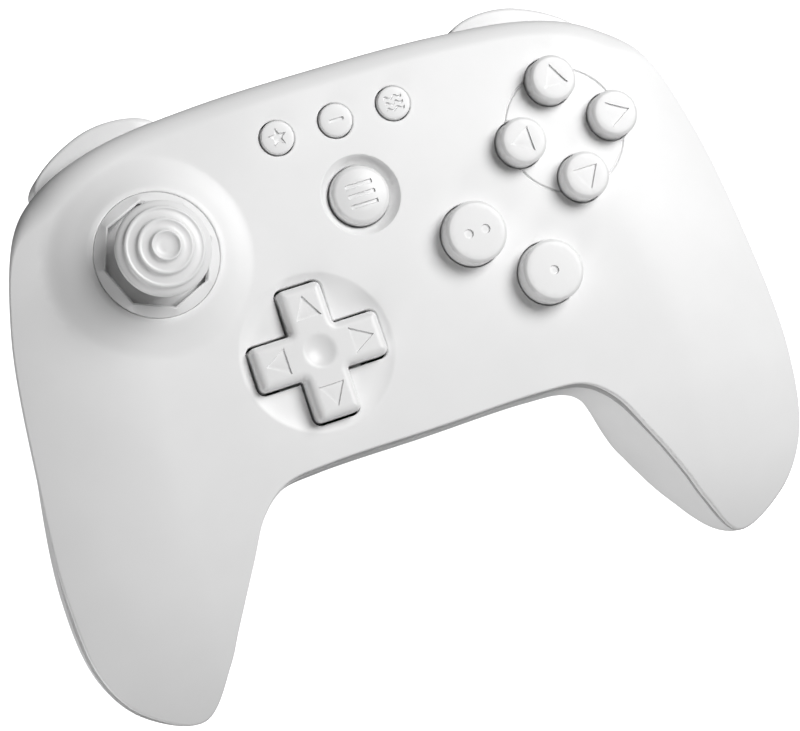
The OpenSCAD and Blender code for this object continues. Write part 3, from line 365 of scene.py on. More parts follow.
def face_z(x, y):
    """Height of the bare face: a slight crown, drooping grips and sides that roll down."""
    side = 69.8 + 4.8 * smooth(0, 45, -y)
    roll = np.maximum(0, 1 - (side - np.abs(x)) / 25)
    droop = 0.0065 * np.maximum(0, -50 - y) ** 2 + 0.004 * np.maximum(0, -67.5 - y) ** 2
    return -y * y / 760 - droop - 4.8 * roll ** 1.8


def back_z(x, y):
    """Height of the back: flat in the middle, deep in the grips, rising to the tips."""
    grip = smooth(22, 56, -y) * smooth(28, 56, np.abs(x))
    return -27 - 15 * grip + 13 * smooth(58, 84, -y) * smooth(18, 40, np.abs(x))


def bowl_depth(x, y, at, size):
    """How far a shallow bowl is sunk below the face; it is steepest at its rim."""
    r, depth, power = size
    share = np.minimum(np.hypot(x - at[0], y - at[1]) / r, 2)
    return soft_max(depth * (1 - share ** power), 0, 0.1)


FLARE_CURVE = curve_through(FLARE)


def skin_z(x, y):
    """Height of the finished face: boss of the stick, the two bowls and the line round the ring buttons."""
    r = np.hypot(x - STICK[0], y - STICK[1])
    flare = np.interp(r, FLARE_CURVE[:, 0], FLARE_CURVE[:, 1])
    z = np.where(r < 23, soft_max(face_z(x, y), flare, 1.4), face_z(x, y))
    z = z - bowl_depth(x, y, PAD, PAD_DISH) - bowl_depth(x, y, (0, 0), START_DISH)
    line = (np.hypot(x - RING[0], y - RING[1]) - GROOVE_R) / GROOVE_HALF
    return z - GROOVE_DEEP * np.maximum(0, 1 - line * line)


def circle(at, r, n):
    """Points of a circle."""
    a = np.linspace(0, 2 * np.pi, n, endpoint=False)
    return np.column_stack([at[0] + r * np.cos(a), at[1] + r * np.sin(a)])


def arc(c, r, a0, a1, n):
    """Points of an arc between two angles in degrees."""
    a = np.radians(np.linspace(a0, a1, n + 1))
    return np.column_stack([c[0] + r * np.cos(a), c[1] + r * np.sin(a)])


def level(outline, z):
    """Points of a flat outline at one height."""
    return np.column_stack([outline, np.full(len(outline), z)])


def cross_outline(grow):
    """Outline of the direction pad, moved outwards by grow, with rounded corners inside and out."""
    h, w = PAD_HALF + grow, PAD_ARM + grow
    out, inner = max(PAD_CORNER + grow, 0.05), max(0.6 - grow, 0.05)
    quarter = np.vstack([
        straight((w + inner, -w), (h - out, -w), 10), arc((h - out, -w + out), out, -90, 0, 6),
        straight((h, -w + out), (h, w - out), 10), arc((h - out, w - out), out, 0, 90, 6),
        straight((h - out, w), (w + inner, w), 10), arc((w + inner, w + inner), inner, 270, 180, 5),
    ])
    points = []
    for q in range(4):
        c, s = round(math.cos(q * math.pi / 2)), round(math.sin(q * math.pi / 2))
        points.append(quarter @ np.array([[c, s], [-s, c]]))
    points = np.vstack(points)
    keep = np.linalg.norm(points - np.roll(points, 1, 0), axis=1) > 1e-6
    return points[keep]


def straight(a, b, n):
    """Points between two places, ends left out."""
    t = np.linspace(0, 1, n + 1)[1:-1, None]
    return np.array(a) * (1 - t) + np.array(b) * t


def within(loop, p):
    """Which of the points p lie inside a closed loop."""
    inside = np.zeros(len(p), bool)
    for (x0, y0), (x1, y1) in zip(loop, np.roll(loop, -1, 0)):
        if y0 != y1:
            side = (x1 - x0) * (p[:, 1] - y0) / (y1 - y0) + x0
            inside ^= ((y0 > p[:, 1]) != (y1 > p[:, 1])) & (p[:, 0] < side)
    return inside


def scatter(loop, taken, pitch):
    """Even dots inside a loop, clear of the points that are taken."""
    low, high = loop.min(0), loop.max(0)
    rows = []
    for i, y in enumerate(np.arange(low[1], high[1], pitch * 0.866)):
        x = np.arange(low[0] + pitch / 2 * (i % 2), high[0], pitch)
        rows.append(np.column_stack([x, np.full(len(x), y)]))
    dots = np.vstack(rows)
    dots = dots[within(loop, dots)]
    tree = KDTree(len(taken))
    for i, p in enumerate(taken):
        tree.insert((p[0], p[1], 0), i)
    tree.balance()
    clear = [tree.find((p[0], p[1], 0))[2] > 0.62 * pitch for p in dots]
    return dots[np.array(clear, bool)]


def flat_sheet(loops, holes, dots):
    """Triangles inside the first loop and outside the holes, through all loops and dots.
    Gives the points, the triangles, and where the points of each loop went."""
    loops = [np.asarray(loop) for loop in loops]
    edges, spans, count = [], [], 0
    for loop in loops:
        n = len(loop)
        edges += [(count + i, count + (i + 1) % n) for i in range(n)]
        spans.append(range(count, count + n))
        count += n
    points = np.vstack(loops + [dots])
    made = delaunay_2d_cdt([Vector(p) for p in points], edges, [], 0, 1e-7)
    xy = np.array([tuple(v) for v in made[0]])
    triangles = np.array(made[2])
    place = {source: i for i, sources in enumerate(made[3]) for source in sources}
    mid = xy[triangles].mean(1)
    keep = within(loops[0], mid)
    for i in holes:
        keep &= ~within(loops[i], mid)
    return xy, triangles[keep], [np.array([place[i] for i in span]) for span in spans]


class Shape:
    """Points in millimetres and faces of a piece that is being built."""

    def __init__(self):
        self.points = []
        self.faces = []

    def add(self, points):
        """Adds points and gives their numbers."""
        start = len(self.points)
        self.points.extend(np.asarray(points, float).tolist())
        return np.arange(start, len(self.points))

    def bridge(self, a, b):
        """Quads between two closed rings of equal length."""
        for i in range(len(a)):
            j = (i + 1) % len(a)
            self.faces.append((int(a[i]), int(a[j]), int(b[j]), int(b[i])))

    def loft(self, rings):
        """Adds closed rings and the quads between them, and gives the numbers of the rings."""
        rows = [self.add(r) for r in rings]
        for a, b in zip(rows, rows[1:]):
            self.bridge(a, b)
        return rows

    def onward(self, ring, rings):
        """Leads a ring on through further rings, and gives the numbers of the last."""
        for points in rings:
            row = self.add(points)
            self.bridge(ring, row)
            ring = row
        return ring

    def cap(self, ring):
        """One face over a ring."""
        self.faces.append(tuple(int(i) for i in ring))

    def pole(self, ring, point):
        """Closes a ring to a point."""
        tip = int(self.add([point])[0])
        for i in range(len(ring)):
            self.faces.append((int(ring[i]), int(ring[(i + 1) % len(ring)]), tip))

    def revolve(self, profile, at, n):
        """Turns (radius, height) points round an upright axis; a radius of 0 is a pole."""
        rows = []
        for r, z in profile:
            rows.append(None if r < 1e-6 else self.add(level(circle(at, r, n), z)))
        for i in range(len(rows) - 1):
            if rows[i] is not None and rows[i + 1] is not None:
                self.bridge(rows[i], rows[i + 1])
        if rows[0] is None:
            self.pole(rows[1], (at[0], at[1], profile[0][1]))
        if rows[-1] is None:
            self.pole(rows[-2], (at[0], at[1], profile[-1][1]))
        return rows

    def prism(self, outline, z0, z1):
        """Upright prism over an outline."""
        rows = self.loft([level(outline, z) for z in (z0, z1)])
        self.cap(rows[0])
        self.cap(rows[1])
        return self

    def box(self, x, y, z):
        """Box between pairs of limits."""
        return self.prism([(x[0], y[0]), (x[1], y[0]), (x[1], y[1]), (x[0], y[1])], *z)

    def turned(self, order, at):
        """The same shape with its axes in another order, then moved."""
        p = np.array(self.points)[:, order] + at
        self.points = p.tolist()
        return self

    def mirrored(self):
        """A copy on the other side of the middle plane."""
        copy = Shape()
        copy.points = (np.array(self.points) * [-1, 1, 1]).tolist()
        copy.faces = [tuple(reversed(f)) for f in self.faces]
        return copy


def both_sides(shapes):
    """Each shape and its copy on the other side of the middle plane."""
    return [side for shape in shapes for side in (shape, shape.mirrored())]


def to_mesh(name, shape):
    """Mesh of a shape in the frame of the part, welded, with its normals outwards."""
    mesh = bpy.data.meshes.new(name)
    mesh.from_pydata((np.array(shape.points) + ORIGIN) * MM, [], shape.faces)
    bm = bmesh.new()
    bm.from_mesh(mesh)
    bmesh.ops.remove_doubles(bm, verts=bm.verts, dist=2e-7)
    bmesh.ops.dissolve_degenerate(bm, edges=bm.edges, dist=1e-8)
    bmesh.ops.recalc_face_normals(bm, faces=bm.faces)
    bm.to_mesh(mesh)
    bm.free()
    return mesh


def baked(obj):
    """Replaces the mesh of an object by what its modifiers make of it."""
    graph = bpy.context.evaluated_depsgraph_get()
    graph.update()
    mesh = bpy.data.meshes.new_from_object(obj.evaluated_get(graph))
    obj.modifiers.clear()
    old, obj.data = obj.data, mesh
    bpy.data.meshes.remove(old)


def carve(obj, operation, shapes):
    """Cuts shapes out of an object, joins them to it or keeps what they share."""
    for shape in shapes:
        tool = bpy.data.objects.new("cutter", to_mesh("cutter", shape))
        bpy.context.scene.collection.objects.link(tool)
        step = obj.modifiers.new("carve", "BOOLEAN")
        step.operation = operation
        step.solver = "MANIFOLD"
        step.object = tool
        baked(obj)
        spare = tool.data
        bpy.data.objects.remove(tool)
        bpy.data.meshes.remove(spare)
    if not obj.data.polygons:
        raise RuntimeError(f"{obj.name} lost all its faces in a cut")


def new_piece(name, shape):
    """Object of a shape, not yet finished."""
    obj = bpy.data.objects.new(name, to_mesh(name, shape))
    bpy.context.scene.collection.objects.link(obj)
    return obj


def settle(obj, node, body, material, angle=32):
    """Gives a piece its shading and material, and puts it on its body in place of its node."""
    obj.data.shade_smooth()
    obj.data.set_sharp_from_angle(angle=math.radians(angle))
    obj.data.materials.clear()
    obj.data.materials.append(material)
    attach(obj, body)
    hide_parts(node)
    return obj


def linear(hex_colour):
    """Linear colour of an sRGB hex value."""
    parts = [int(hex_colour[i:i + 2], 16) / 255 for i in (0, 2, 4)]
    return tuple(c / 12.92 if c <= 0.04045 else ((c + 0.055) / 1.055) ** 2.4 for c in parts) + (1,)


def add_node(tree, kind, inputs=None, **settings):
    """Adds a node with its settings; an input is a value or a socket to link."""
    made = tree.nodes.new(kind)
    for key, value in settings.items():
        setattr(made, key, value)
    for socket, value in (inputs or {}).items():
        if isinstance(value, bpy.types.NodeSocket):
            tree.links.new(value, made.inputs[socket])
        else:
            made.inputs[socket].default_value = value
    return made


def surface(name, colour, rough, grain_mm, relief_mm, shade=0.04, **sockets):
    """Material with a grain of a real size: it moves the colour, the roughness and the relief."""
    material = bpy.data.materials.get(name)
    if material:
        return material
    material = bpy.data.materials.new(name)
    material.use_nodes = True
    tree = material.node_tree
    tree.nodes.clear()
    place = add_node(tree, "ShaderNodeTexCoord").outputs["Object"]
    fine = add_node(tree, "ShaderNodeTexNoise", {
        "Vector": place, "Scale": 1 / (grain_mm * MM), "Detail": 2.0, "Roughness": 0.55})
    broad = add_node(tree, "ShaderNodeTexNoise", {
        "Vector": place, "Scale": 1 / (14 * MM), "Detail": 3.0, "Roughness": 0.5})
    tint = add_node(tree, "ShaderNodeValToRGB", {"Fac": broad.outputs["Fac"]})
    base = np.array(linear(colour))
    tint.color_ramp.elements[0].position = 0.3
    tint.color_ramp.elements[0].color = tuple(base[:3] * (1 - shade)) + (1,)
    tint.color_ramp.elements[1].position = 0.7
    tint.color_ramp.elements[1].color = tuple(np.minimum(base[:3] * (1 + shade / 2), 1)) + (1,)
    gloss = add_node(tree, "ShaderNodeMapRange", {
        "Value": fine.outputs["Fac"], "From Min": 0.3, "From Max": 0.7,
        "To Min": rough - 0.05, "To Max": rough + 0.05})
    relief = add_node(tree, "ShaderNodeBump", {
        "Height": fine.outputs["Fac"], "Strength": 1.0, "Distance": relief_mm * MM})
    shader = add_node(tree, "ShaderNodeBsdfPrincipled", {
        "Base Color": tint.outputs["Color"], "Roughness": gloss.outputs["Result"],
        "Normal": relief.outputs["Normal"], **sockets})
    add_node(tree, "ShaderNodeOutputMaterial", {"Surface": shader.outputs["BSDF"]})
    return material


def white_shell(look):
    """White of the two shells and the gate ring."""
    # Spark-eroded ABS: the mould's fine pits spread the highlights into a satin sheen.
    # The pits are about 0.1 mm; they are drawn wider so that they show.
    return surface("moulded_satin_abs", look.shell_white, look.shell_rough, look.grain, 0.0035, 0.02,
                   **{"IOR": 1.53, "Specular IOR Level": 0.45})


def white_control(look):
    """White of the buttons, stick, pad and levers."""
    # Finer moulded ABS of the caps: the same white with a tighter, slightly shinier skin.
    return surface("moulded_fine_abs", look.control_white, look.control_rough, 0.5, 0.002, 0.015,
                   **{"IOR": 1.53, "Specular IOR Level": 0.5})


class GamepadLook(bpy.types.PropertyGroup):
    """Finishes of the gamepad that a user would change."""

    shell_white: bpy.props.StringProperty(
        name="Shell white", description="Colour of the two shells, sRGB hex", default="f4f4f4")
    control_white: bpy.props.StringProperty(
        name="Control white", description="Colour of the buttons, stick and levers, sRGB hex",
        default="efefef")
    shell_rough: bpy.props.FloatProperty(
        name="Shell roughness", description="Roughness of the shells' moulded skin",
        default=0.42, min=0.1, max=0.9, subtype="FACTOR")
    control_rough: bpy.props.FloatProperty(
        name="Control roughness", description="Roughness of the caps' moulded skin",
        default=0.36, min=0.1, max=0.9, subtype="FACTOR")
    grain: bpy.props.FloatProperty(
        name="Shell grain", description="Width of the drawn mould texture in millimetres",
        default=0.45, min=0.1, max=2)
    lip: bpy.props.FloatProperty(
        name="Hole lip", description="Radius of the lips round the holes in millimetres",
        default=0.28, min=0.1, max=0.5)


class GamepadStage(bpy.types.PropertyGroup):
    """Floor, light and camera that a user would change."""

    floor: bpy.props.StringProperty(
        name="Floor", description="Colour of the floor, sRGB hex", default="fbfbfb")
    key: bpy.props.FloatProperty(
        name="Key light", description="Power of the main light", default=7.1, min=0, unit="POWER")
    side: bpy.props.FloatProperty(
        name="Side light", description="Power of the low light from the left", default=4.0, min=0,
        unit="POWER")
    under: bpy.props.FloatProperty(
        name="Under light", description="Power of the light from below on the left", default=5.5, min=0,
        unit="POWER")
    fill: bpy.props.FloatProperty(
        name="Fill light", description="Strength of the even light from all round", default=0.11, min=0)
    glow: bpy.props.FloatProperty(
        name="Floor glow", description="Brightness of the floor's own glow", default=1.0, min=0)
    lens: bpy.props.FloatProperty(
        name="Lens", description="Focal length of the camera", default=126.55, min=20, unit="CAMERA")


RIM = Rim(96)


class GAMEPAD_OT_front_shell(bpy.types.Operator):
    """Front shell: the face with its boss, bowls and holes, its rounded edge and the side above the seam"""

    bl_idname = "gamepad.front_shell"
    bl_label = "Front shell"

    def execute(self, context):
        look = context.scene.gamepad_look
        lip = look.lip
        # Each hole: its outline at a distance outside the wall, and the depth of its wall
        holes = [
            (lambda d, at=at, r=d0 / 2 + BUTTON_GAP: circle(at, r + d, 72), SEAT_Z)
            for at, d0, _, _ in BUTTONS.values()
        ]
        holes.append((lambda d: circle(STICK, GATE_R + GATE_GAP + d, GATE_STEPS), GATE_LOW))
        holes.append((lambda d: cross_outline(PAD_GAP + d) + PAD[:2], SEAT_Z))
        edge = RIM.front_edge(90)
        loops = [edge[:, :2]] + [outline(lip) for outline, _ in holes]
        # Rings of dots follow the boss, the rims of the bowls and the groove; even dots fill the rest
        dots = [circle(STICK, r, 150) for r in np.arange(12.4, 19.8, 0.55)]
        for at, (r, _, _) in ((PAD, PAD_DISH), ((0, 0), START_DISH)):
            rim = (-0.7, -0.36, -0.18, -0.06, 0.06, 0.18, 0.36)
            dots += [circle(at, r + d, round(9 * r)) for d in rim]
        across = (-0.34, -0.22, -0.14, -0.06, 0.06, 0.14, 0.22, 0.34)
        dots += [circle(RING, GROOVE_R + d, 240) for d in across]
        dots = np.vstack(dots)
        for loop in loops[1:]:
            mid = loop.mean(0)
            dots = dots[~within((loop - mid) * (1 + 0.2 / np.abs(loop - mid).max()) + mid, dots)]
        taken = np.vstack(loops + [dots])
        near_bowl = scatter(circle(PAD, PAD_DISH[0] - 0.9, 60), taken, 0.7)
        dots = np.vstack([dots, near_bowl])
        dots = np.vstack([dots, scatter(loops[0], np.vstack([taken, near_bowl]), 1.2)])
        for loop in loops[1:]:
            dots = dots[~within(loop, dots)]
        xy, triangles, rings = flat_sheet(loops, range(1, len(loops)), dots)

        shape = Shape()
        top = shape.add(np.column_stack([xy, skin_z(*xy.T)]))
        under_z = np.maximum(skin_z(*xy.T) - WALL, np.minimum(face_z(*xy.T) - WALL, SEAT_Z))
        under = shape.add(np.column_stack([xy, under_z]))
        shape.faces += [tuple(int(i) for i in top[t]) for t in triangles]
        shape.faces += [tuple(int(i) for i in under[t][::-1]) for t in triangles]
        for (outline, depth), ring in zip(holes, rings[1:]):
            rows = []
            for angle in (22.5, 45, 67.5, 90):
                a = math.radians(angle)
                q = outline(lip * (1 - math.sin(a)))
                rows.append(np.column_stack([q, skin_z(*q.T) - lip * (1 - math.cos(a))]))
            rows.append(level(outline(0), depth))
            if depth == GATE_LOW:
                rows += [level(circle(STICK, r, GATE_STEPS), z) for r, z in GATE_LEDGE]
            shape.bridge(shape.onward(top[ring], rows), under[ring])
        rows = [RIM.front_edge(a) for a in (75, 60, 45, 30, 15, 0)]
        side = rows[-1]
        foot = RIM.at_seam(SEAM_FOOT, SEAM_GAP)
        rows += [side + (foot - side) * s for s in (0.35, 0.7, 1)]
        rows += [RIM.at_seam(*p) for p in ((SEAM_DEEP, SEAM_GAP - 0.05), (SEAM_DEEP, 0.03), (WALL, 0.03))]
        inner = RIM.inward(RIM.ledge + np.maximum(RIM.edge_r, WALL + 0.2))
        rows.append(np.column_stack([inner, face_z(*inner.T) - WALL - 0.6]))
        shape.bridge(shape.onward(top[rings[0]], rows), under[rings[0]])
        obj = new_piece("front_shell_look", shape)
        settle(obj, "front_shell", "case", white_shell(look), 40)
        self.true_normals(obj.data)
        return {"FINISHED"}

    def true_normals(self, mesh):
        """Sets the normals of the face from its own slope, so that the triangles don't show."""
        co = np.zeros(len(mesh.vertices) * 3, np.float32)
        mesh.vertices.foreach_get("co", co)
        p = co.reshape(-1, 3) / MM - ORIGIN
        x, y, step = p[:, 0], p[:, 1], 0.03
        on_face = np.abs(p[:, 2] - skin_z(x, y)) < 1e-3
        dx = (skin_z(x + step, y) - skin_z(x - step, y)) / (2 * step)
        dy = (skin_z(x, y + step) - skin_z(x, y - step)) / (2 * step)
        n = np.column_stack([-dx, -dy, np.ones(len(p))])
        n /= np.linalg.norm(n, axis=1)[:, None]
        n[~on_face] = 0
        corners = np.zeros(len(mesh.loops), np.int32)
        mesh.loops.foreach_get("vertex_index", corners)
        mesh.normals_split_custom_set(n[corners].tolist())


def bumper_outline(grow, out, depth, steps):
    """Bumper seen from above: a band along the far edge that swells outwards between its ends."""
    t0, t1 = 1.28 - grow / 18, 3.05 + grow / 8
    outside, inside = [], []
    for u in np.linspace(0, 1, steps + 1):
        t = t0 + (t1 - t0) * u
        a, b = seam_at(t - 0.02), seam_at(t + 0.02)
        d = (b - a)[:2]
        n = np.array([-d[1], d[0]]) / np.linalg.norm(d)
        swell = max(0, 1 - abs(2 * u - 1) ** 3) ** 0.6 * (1 - 0.35 * float(smooth(0.3, 0.9, u)))
        p = seam_at(t)[:2]
        outside.append(p + (out * swell + grow - 0.2) * n)
        inside.append(p - depth * n)
    return np.array(outside + inside[::-1])


class GAMEPAD_OT_rear_shell(bpy.types.Operator):
    """Rear shell: the back and grips, with the openings for the levers, screws, port and lamps"""

    bl_idname = "gamepad.rear_shell"
    bl_label = "Rear shell"

    def execute(self, context):
        look = context.scene.gamepad_look
        shape = Shape()
        outside = [RIM.rear_flat(0, s) for s in (1, 0.8, 0.6, 0.4, 0.2)]
        outside += [RIM.rear_curve(0, a) for a in (90, 82, 74, 66, 58, 50, 42, 34, 26, 18, 11, 5)]
        groove = ((-RIM.step, -SEAM_GAP), (SEAM_DEEP, 0.05 - SEAM_GAP), (SEAM_DEEP, -0.03))
        outside += [RIM.at_seam(*p) for p in groove]
        inside = [RIM.at_seam(WALL, -0.03)]
        inside += [RIM.rear_curve(WALL, a) for a in (12, 30, 50, 70, 90)]
        inside += [RIM.rear_flat(WALL, s) for s in (0.33, 0.66, 1)]
        shape.loft(outside + inside)
        obj = new_piece("rear_shell_look", shape)
        x0, x1 = TRIGGER_X
        pocket = bumper_outline(LEVER_GAP, BUMPER_OUT + 4, BUMPER_DEPTH + 1.2, 40)
        cuts = [
            Shape().prism(pocket, BUMPER_Z[0] - LEVER_GAP, 0.6),
            Shape().box((x0 - LEVER_GAP, x1 + LEVER_GAP), (HINGE[0] - DRUM_R - LEVER_GAP, BEYOND),
                        (-BEYOND, BUMPER_Z[0])),
        ]
        carve(obj, "DIFFERENCE", both_sides(cuts))
        # Two plates on each side carry the trigger's pin
        plate = [(4.8, -19.4), (4.8, -24.2), (15.4, -24.2), (16.6, -21.6), (17.2, -19.4)]
        ribs = [Shape().prism(plate, *x).turned([2, 0, 1], (0, 0, 0))
                for x in ((x0 - 2.2, x0 - 0.4), (x0 + 14, x0 + 15.8))]
        # The screw tubes stand inside the back, so the lower end of each follows its skin
        skin = BVHTree.FromPolygons(shape.points, shape.faces)
        tubes = []
        for x, y, z in SHELL_SCREWS:
            ring = circle((x, y), TUBE_R, 48)
            low = [skin.ray_cast(Vector((*q, -BEYOND)), Vector((0, 0, 1)))[0].z + TUBE_LIFT for q in ring]
            tube = Shape()
            rows = tube.loft([np.column_stack([ring, low]), level(ring, z)])
            tube.pole(rows[0], (x, y, np.mean(low)))
            tube.cap(rows[1])
            tubes.append(tube)
        carve(obj, "UNION", both_sides(ribs + tubes))
        wells = []
        for x, y, z in SHELL_SCREWS:
            wells.append(Shape().prism(circle((x, y), WELL_R, 48), -BEYOND, z - 4))
            wells.append(Shape().prism(circle((x, y), SCREW_R, 32), z - 5, z + 1))
        carve(obj, "DIFFERENCE", both_sides(wells))
        port = Shape().prism(stadium(*PORT_SIZE), 0, 8).turned([0, 2, 1], (0, FAR_WALL - 6, PORT_Z))
        pair = Shape().prism(circle((0, 0), PAIR_HOLE_R, 40), -6, 2)
        pair.turned([0, 2, 1], (PAIR_AT[0], FAR_WALL, PAIR_AT[1]))
        slider = Shape().box(SLIDER_X, (FAR_WALL - 6, FAR_WALL + 2), SLIDER_Z)
        slits = [Shape().box((x - 1, x + 1), NEAR_WALL, LAMP_Z) for x in LAMP_X]
        carve(obj, "DIFFERENCE", [port, pair, slider] + slits)
        settle(obj, "rear_shell", "case", white_shell(look), 30)
        return {"FINISHED"}


def stadium(w, h):
    """Slot outline with round ends."""
    s = (w - h) / 2
    return np.vstack([arc((s, 0), h / 2, -90, 90, 16), arc((-s, 0), h / 2, 90, 270, 16)])


class GAMEPAD_OT_bumpers(bpy.types.Operator):
    """Bumpers: swelling bands along the far edge with rounded edges, on their upright pins"""

    bl_idname = "gamepad.bumpers"
    bl_label = "Bumpers"

    def execute(self, context):
        low, high = BUMPER_Z
        rings = []
        for angle in (0, 22.5, 45, 67.5, 90):
            a = math.radians(angle)
            rings.append((low + BUMPER_EDGE * (1 - math.cos(a)), 1 - math.sin(a)))
        rings += [(high - (z - low), f) for z, f in rings[::-1]]
        shape = Shape()
        rows = shape.loft([
            level(bumper_outline(-0.25 * f, BUMPER_OUT - 0.55 * f, BUMPER_DEPTH, BUMPER_STEPS), z)
            for z, f in rings])
        shape.cap(rows[0])
        shape.cap(rows[-1])
        shape.prism(circle(BUMPER_PIN, 1.2, 32), low - 1.8, high + 1.8)
        for name, made in (("right", shape), ("left", shape.mirrored())):
            obj = new_piece(f"{name}_bumper_look", made)
            settle(obj, f"{name}_bumper", f"{name}_bumper",
                   white_control(context.scene.gamepad_look), 40)
        return {"FINISHED"}


class GAMEPAD_OT_triggers(bpy.types.Operator):
    """Triggers: finger pads that sweep down from a drum round the hinge, with soft edges"""

    bl_idname = "gamepad.triggers"
    bl_label = "Triggers"

    def execute(self, context):
        y, z = HINGE
        x0, x1 = TRIGGER_X
        front = curve_through([
            (24, TRIGGER_TOP), (27, -20.8), (29.1, -24), (29.6, -28.4), (29.4, -32.4), (28.6, -36),
            (27.2, -38.6), (25.4, -39.8), (23.4, -39), (21.5, -36.2), (19.3, -32), (17.2, -28.6),
            (y, z - DRUM_R)])
        drum = arc(HINGE, DRUM_R, -90, -192, 20)
        barrel = arc(HINGE, 2.4, 147, 90, 8)
        profile = np.vstack([front[:-1], drum, barrel])
        plan = np.vstack([[(x0, 5)], curve_through([
            (x0, 24.6), (34.8, 27), (37.5, 29), (40.4, 29.6), (43.3, 28.6), (46.2, 26.8), (49.1, 24.2),
            (51.6, 21.4), (x1, 18.6)]), [(x1, 5)]])
        side = Shape().prism(profile, x0, x1).turned([2, 0, 1], (0, 0, 0))
        for name, way in (("right", 1), ("left", -1)):
            turn = (lambda s: s) if way > 0 else (lambda s: s.mirrored())
            obj = new_piece(f"{name}_trigger_look", turn(side))
            carve(obj, "INTERSECT", [turn(Shape().prism(plan, -BEYOND, 0))])
            # An even grid of faces, smoothed a little, rounds all edges alike
            grid = obj.modifiers.new("grid", "REMESH")
            grid.mode = "VOXEL"
            grid.voxel_size = 0.42 * MM
            even = obj.modifiers.new("even", "SMOOTH")
            even.factor = 0.5
            even.iterations = 10
            baked(obj)
            rib = x0 + 13.6
            carve(obj, "DIFFERENCE", [turn(s) for s in (
                Shape().box((x0 + 9.4, rib + 2.6), (5, y + 3.6), (z - 3.6, z + 10)),
                Shape().box((rib, rib + 2.6), (5, y + 4.4), (z - 8, z + 10)),
                Shape().prism(circle((0, 0), 1.25, 32), x0 - 1, x1 + 1).turned([2, 0, 1], (0, y, z)))])
            settle(obj, f"{name}_trigger", f"{name}_trigger",
                   white_control(context.scene.gamepad_look), 40)
        return {"FINISHED"}


class GAMEPAD_OT_thumbstick(bpy.types.Operator):
    """Thumbstick and its gate: a stepped cap on a domed skirt, in an eight-sided ring"""

    bl_idname = "gamepad.thumbstick"
    bl_label = "Thumbstick"

    def execute(self, context):
        look = context.scene.gamepad_look
        cap = curve_through([
            (0.001, -0.6), (1.5, -0.55), (2.1, -0.3), (2.45, -0.02), (2.7, -0.05), (2.95, -0.5),
            (3.3, -0.72), (4.3, -0.8), (4.75, -0.72), (5.05, -0.85), (5.3, -1.3), (5.65, -1.5),
            (6.6, -1.68), (7, -1.62), (7.3, -1.78), (7.5, -2.2), (7.8, -2.45), (8.3, -2.75),
            (8.65, -3.1), (8.75, -3.5), (8.6, -3.95), (8, -4.25), (4.6, -4.2), (3.6, -5)], 5)
        cap = [(max(r, 0), z + STICK_TOP) for r, z in cap]
        cap[0] = (0, STICK_TOP - 0.6)
        dome = np.radians(np.linspace(math.degrees(math.asin(3.6 / SKIRT_R)), 58, 24))
        hollow = np.radians(np.linspace(58, 8, 16))
        inside = SKIRT_R - SKIRT_WALL
        profile = cap + [(SKIRT_R * math.sin(a), SKIRT_R * math.cos(a)) for a in dome]
        profile += [(inside * math.sin(a), inside * math.cos(a)) for a in hollow]
        profile += [(1.52, inside), (1.52, STICK_TOP - 3), (0, STICK_TOP - 3)]
        shape = Shape()
        shape.revolve([(r, z + STICK[2]) for r, z in profile], STICK, 128)
        obj = new_piece("thumbstick_look", shape)
        settle(obj, "thumbstick", "stick", white_control(look), 50)

        angle = np.linspace(0, 2 * np.pi, GATE_STEPS, endpoint=False)
        corner = np.abs((angle % (np.pi / 4)) - np.pi / 8)
        gate = Shape()

        def ring(flat, share, z):
            """Ring from the eight-sided hole, at a share of 0, to the round outside, at 1."""
            r = flat / np.cos(corner)
            r = r + (GATE_R - r) * share
            return level(STICK[:2] + np.column_stack([r * np.cos(angle), r * np.sin(angle)]), z)

        rows = [ring(GATE_FLAT, 1, z) for z in (GATE_LOW, 1.75)]
        rows += [ring(GATE_FLAT, 0.97, 1.92), ring(GATE_FLAT, 0.9, 2.02)]
        rows += [ring(GATE_FLAT + 0.5, 0.5, 2.45), ring(GATE_FLAT + 0.55, 0, GATE_TOP - 0.1)]
        rows += [ring(GATE_FLAT + d, 0, GATE_TOP - z) for d, z in ((0.36, 0), (0.16, 0.04), (0, 0.24))]
        rows.append(ring(GATE_FLAT, 0, GATE_LOW))
        made = gate.loft(rows)
        gate.bridge(made[-1], made[0])
        obj = new_piece("stick_gate_ring_look", gate)
        settle(obj, "stick_gate_ring", "case", white_shell(look), 30)
        return {"FINISHED"}


def rounded(points, r, n=4):
    """Polygon with each corner rounded off."""
    p = np.array(points, float)
    made = []
    for a, b, c in zip(np.roll(p, 1, 0), p, np.roll(p, -1, 0)):
        s = b + (a - b) / np.linalg.norm(a - b) * r
        e = b + (c - b) / np.linalg.norm(c - b) * r
        for t in np.linspace(0, 1, n + 1):
            made.append(s * (1 - t) ** 2 + b * 2 * t * (1 - t) + e * t * t)
    return np.array(made)


def drawn_in(loop, d):
    """Closed loop moved inwards by a small distance."""
    a, b, c = np.roll(loop, 1, 0), loop, np.roll(loop, -1, 0)
    u = (b - a) / np.linalg.norm(b - a, axis=1)[:, None]
    v = (c - b) / np.linalg.norm(c - b, axis=1)[:, None]
    area = np.sum(a[:, 0] * b[:, 1] - b[:, 0] * a[:, 1])
    n = np.column_stack([-(u + v)[:, 1], (u + v)[:, 0]]) * np.sign(area)
    size = np.maximum(np.sum(n * n, axis=1) / 2, 0.25)[:, None]
    return b + n * d / size


def triangle_mark(turn, r):
    """Small triangle pointing along an angle in degrees."""
    a = np.radians([turn, turn + 120, turn + 240])
    return rounded(np.column_stack([r * np.cos(a), r * np.sin(a)]), 0.16)


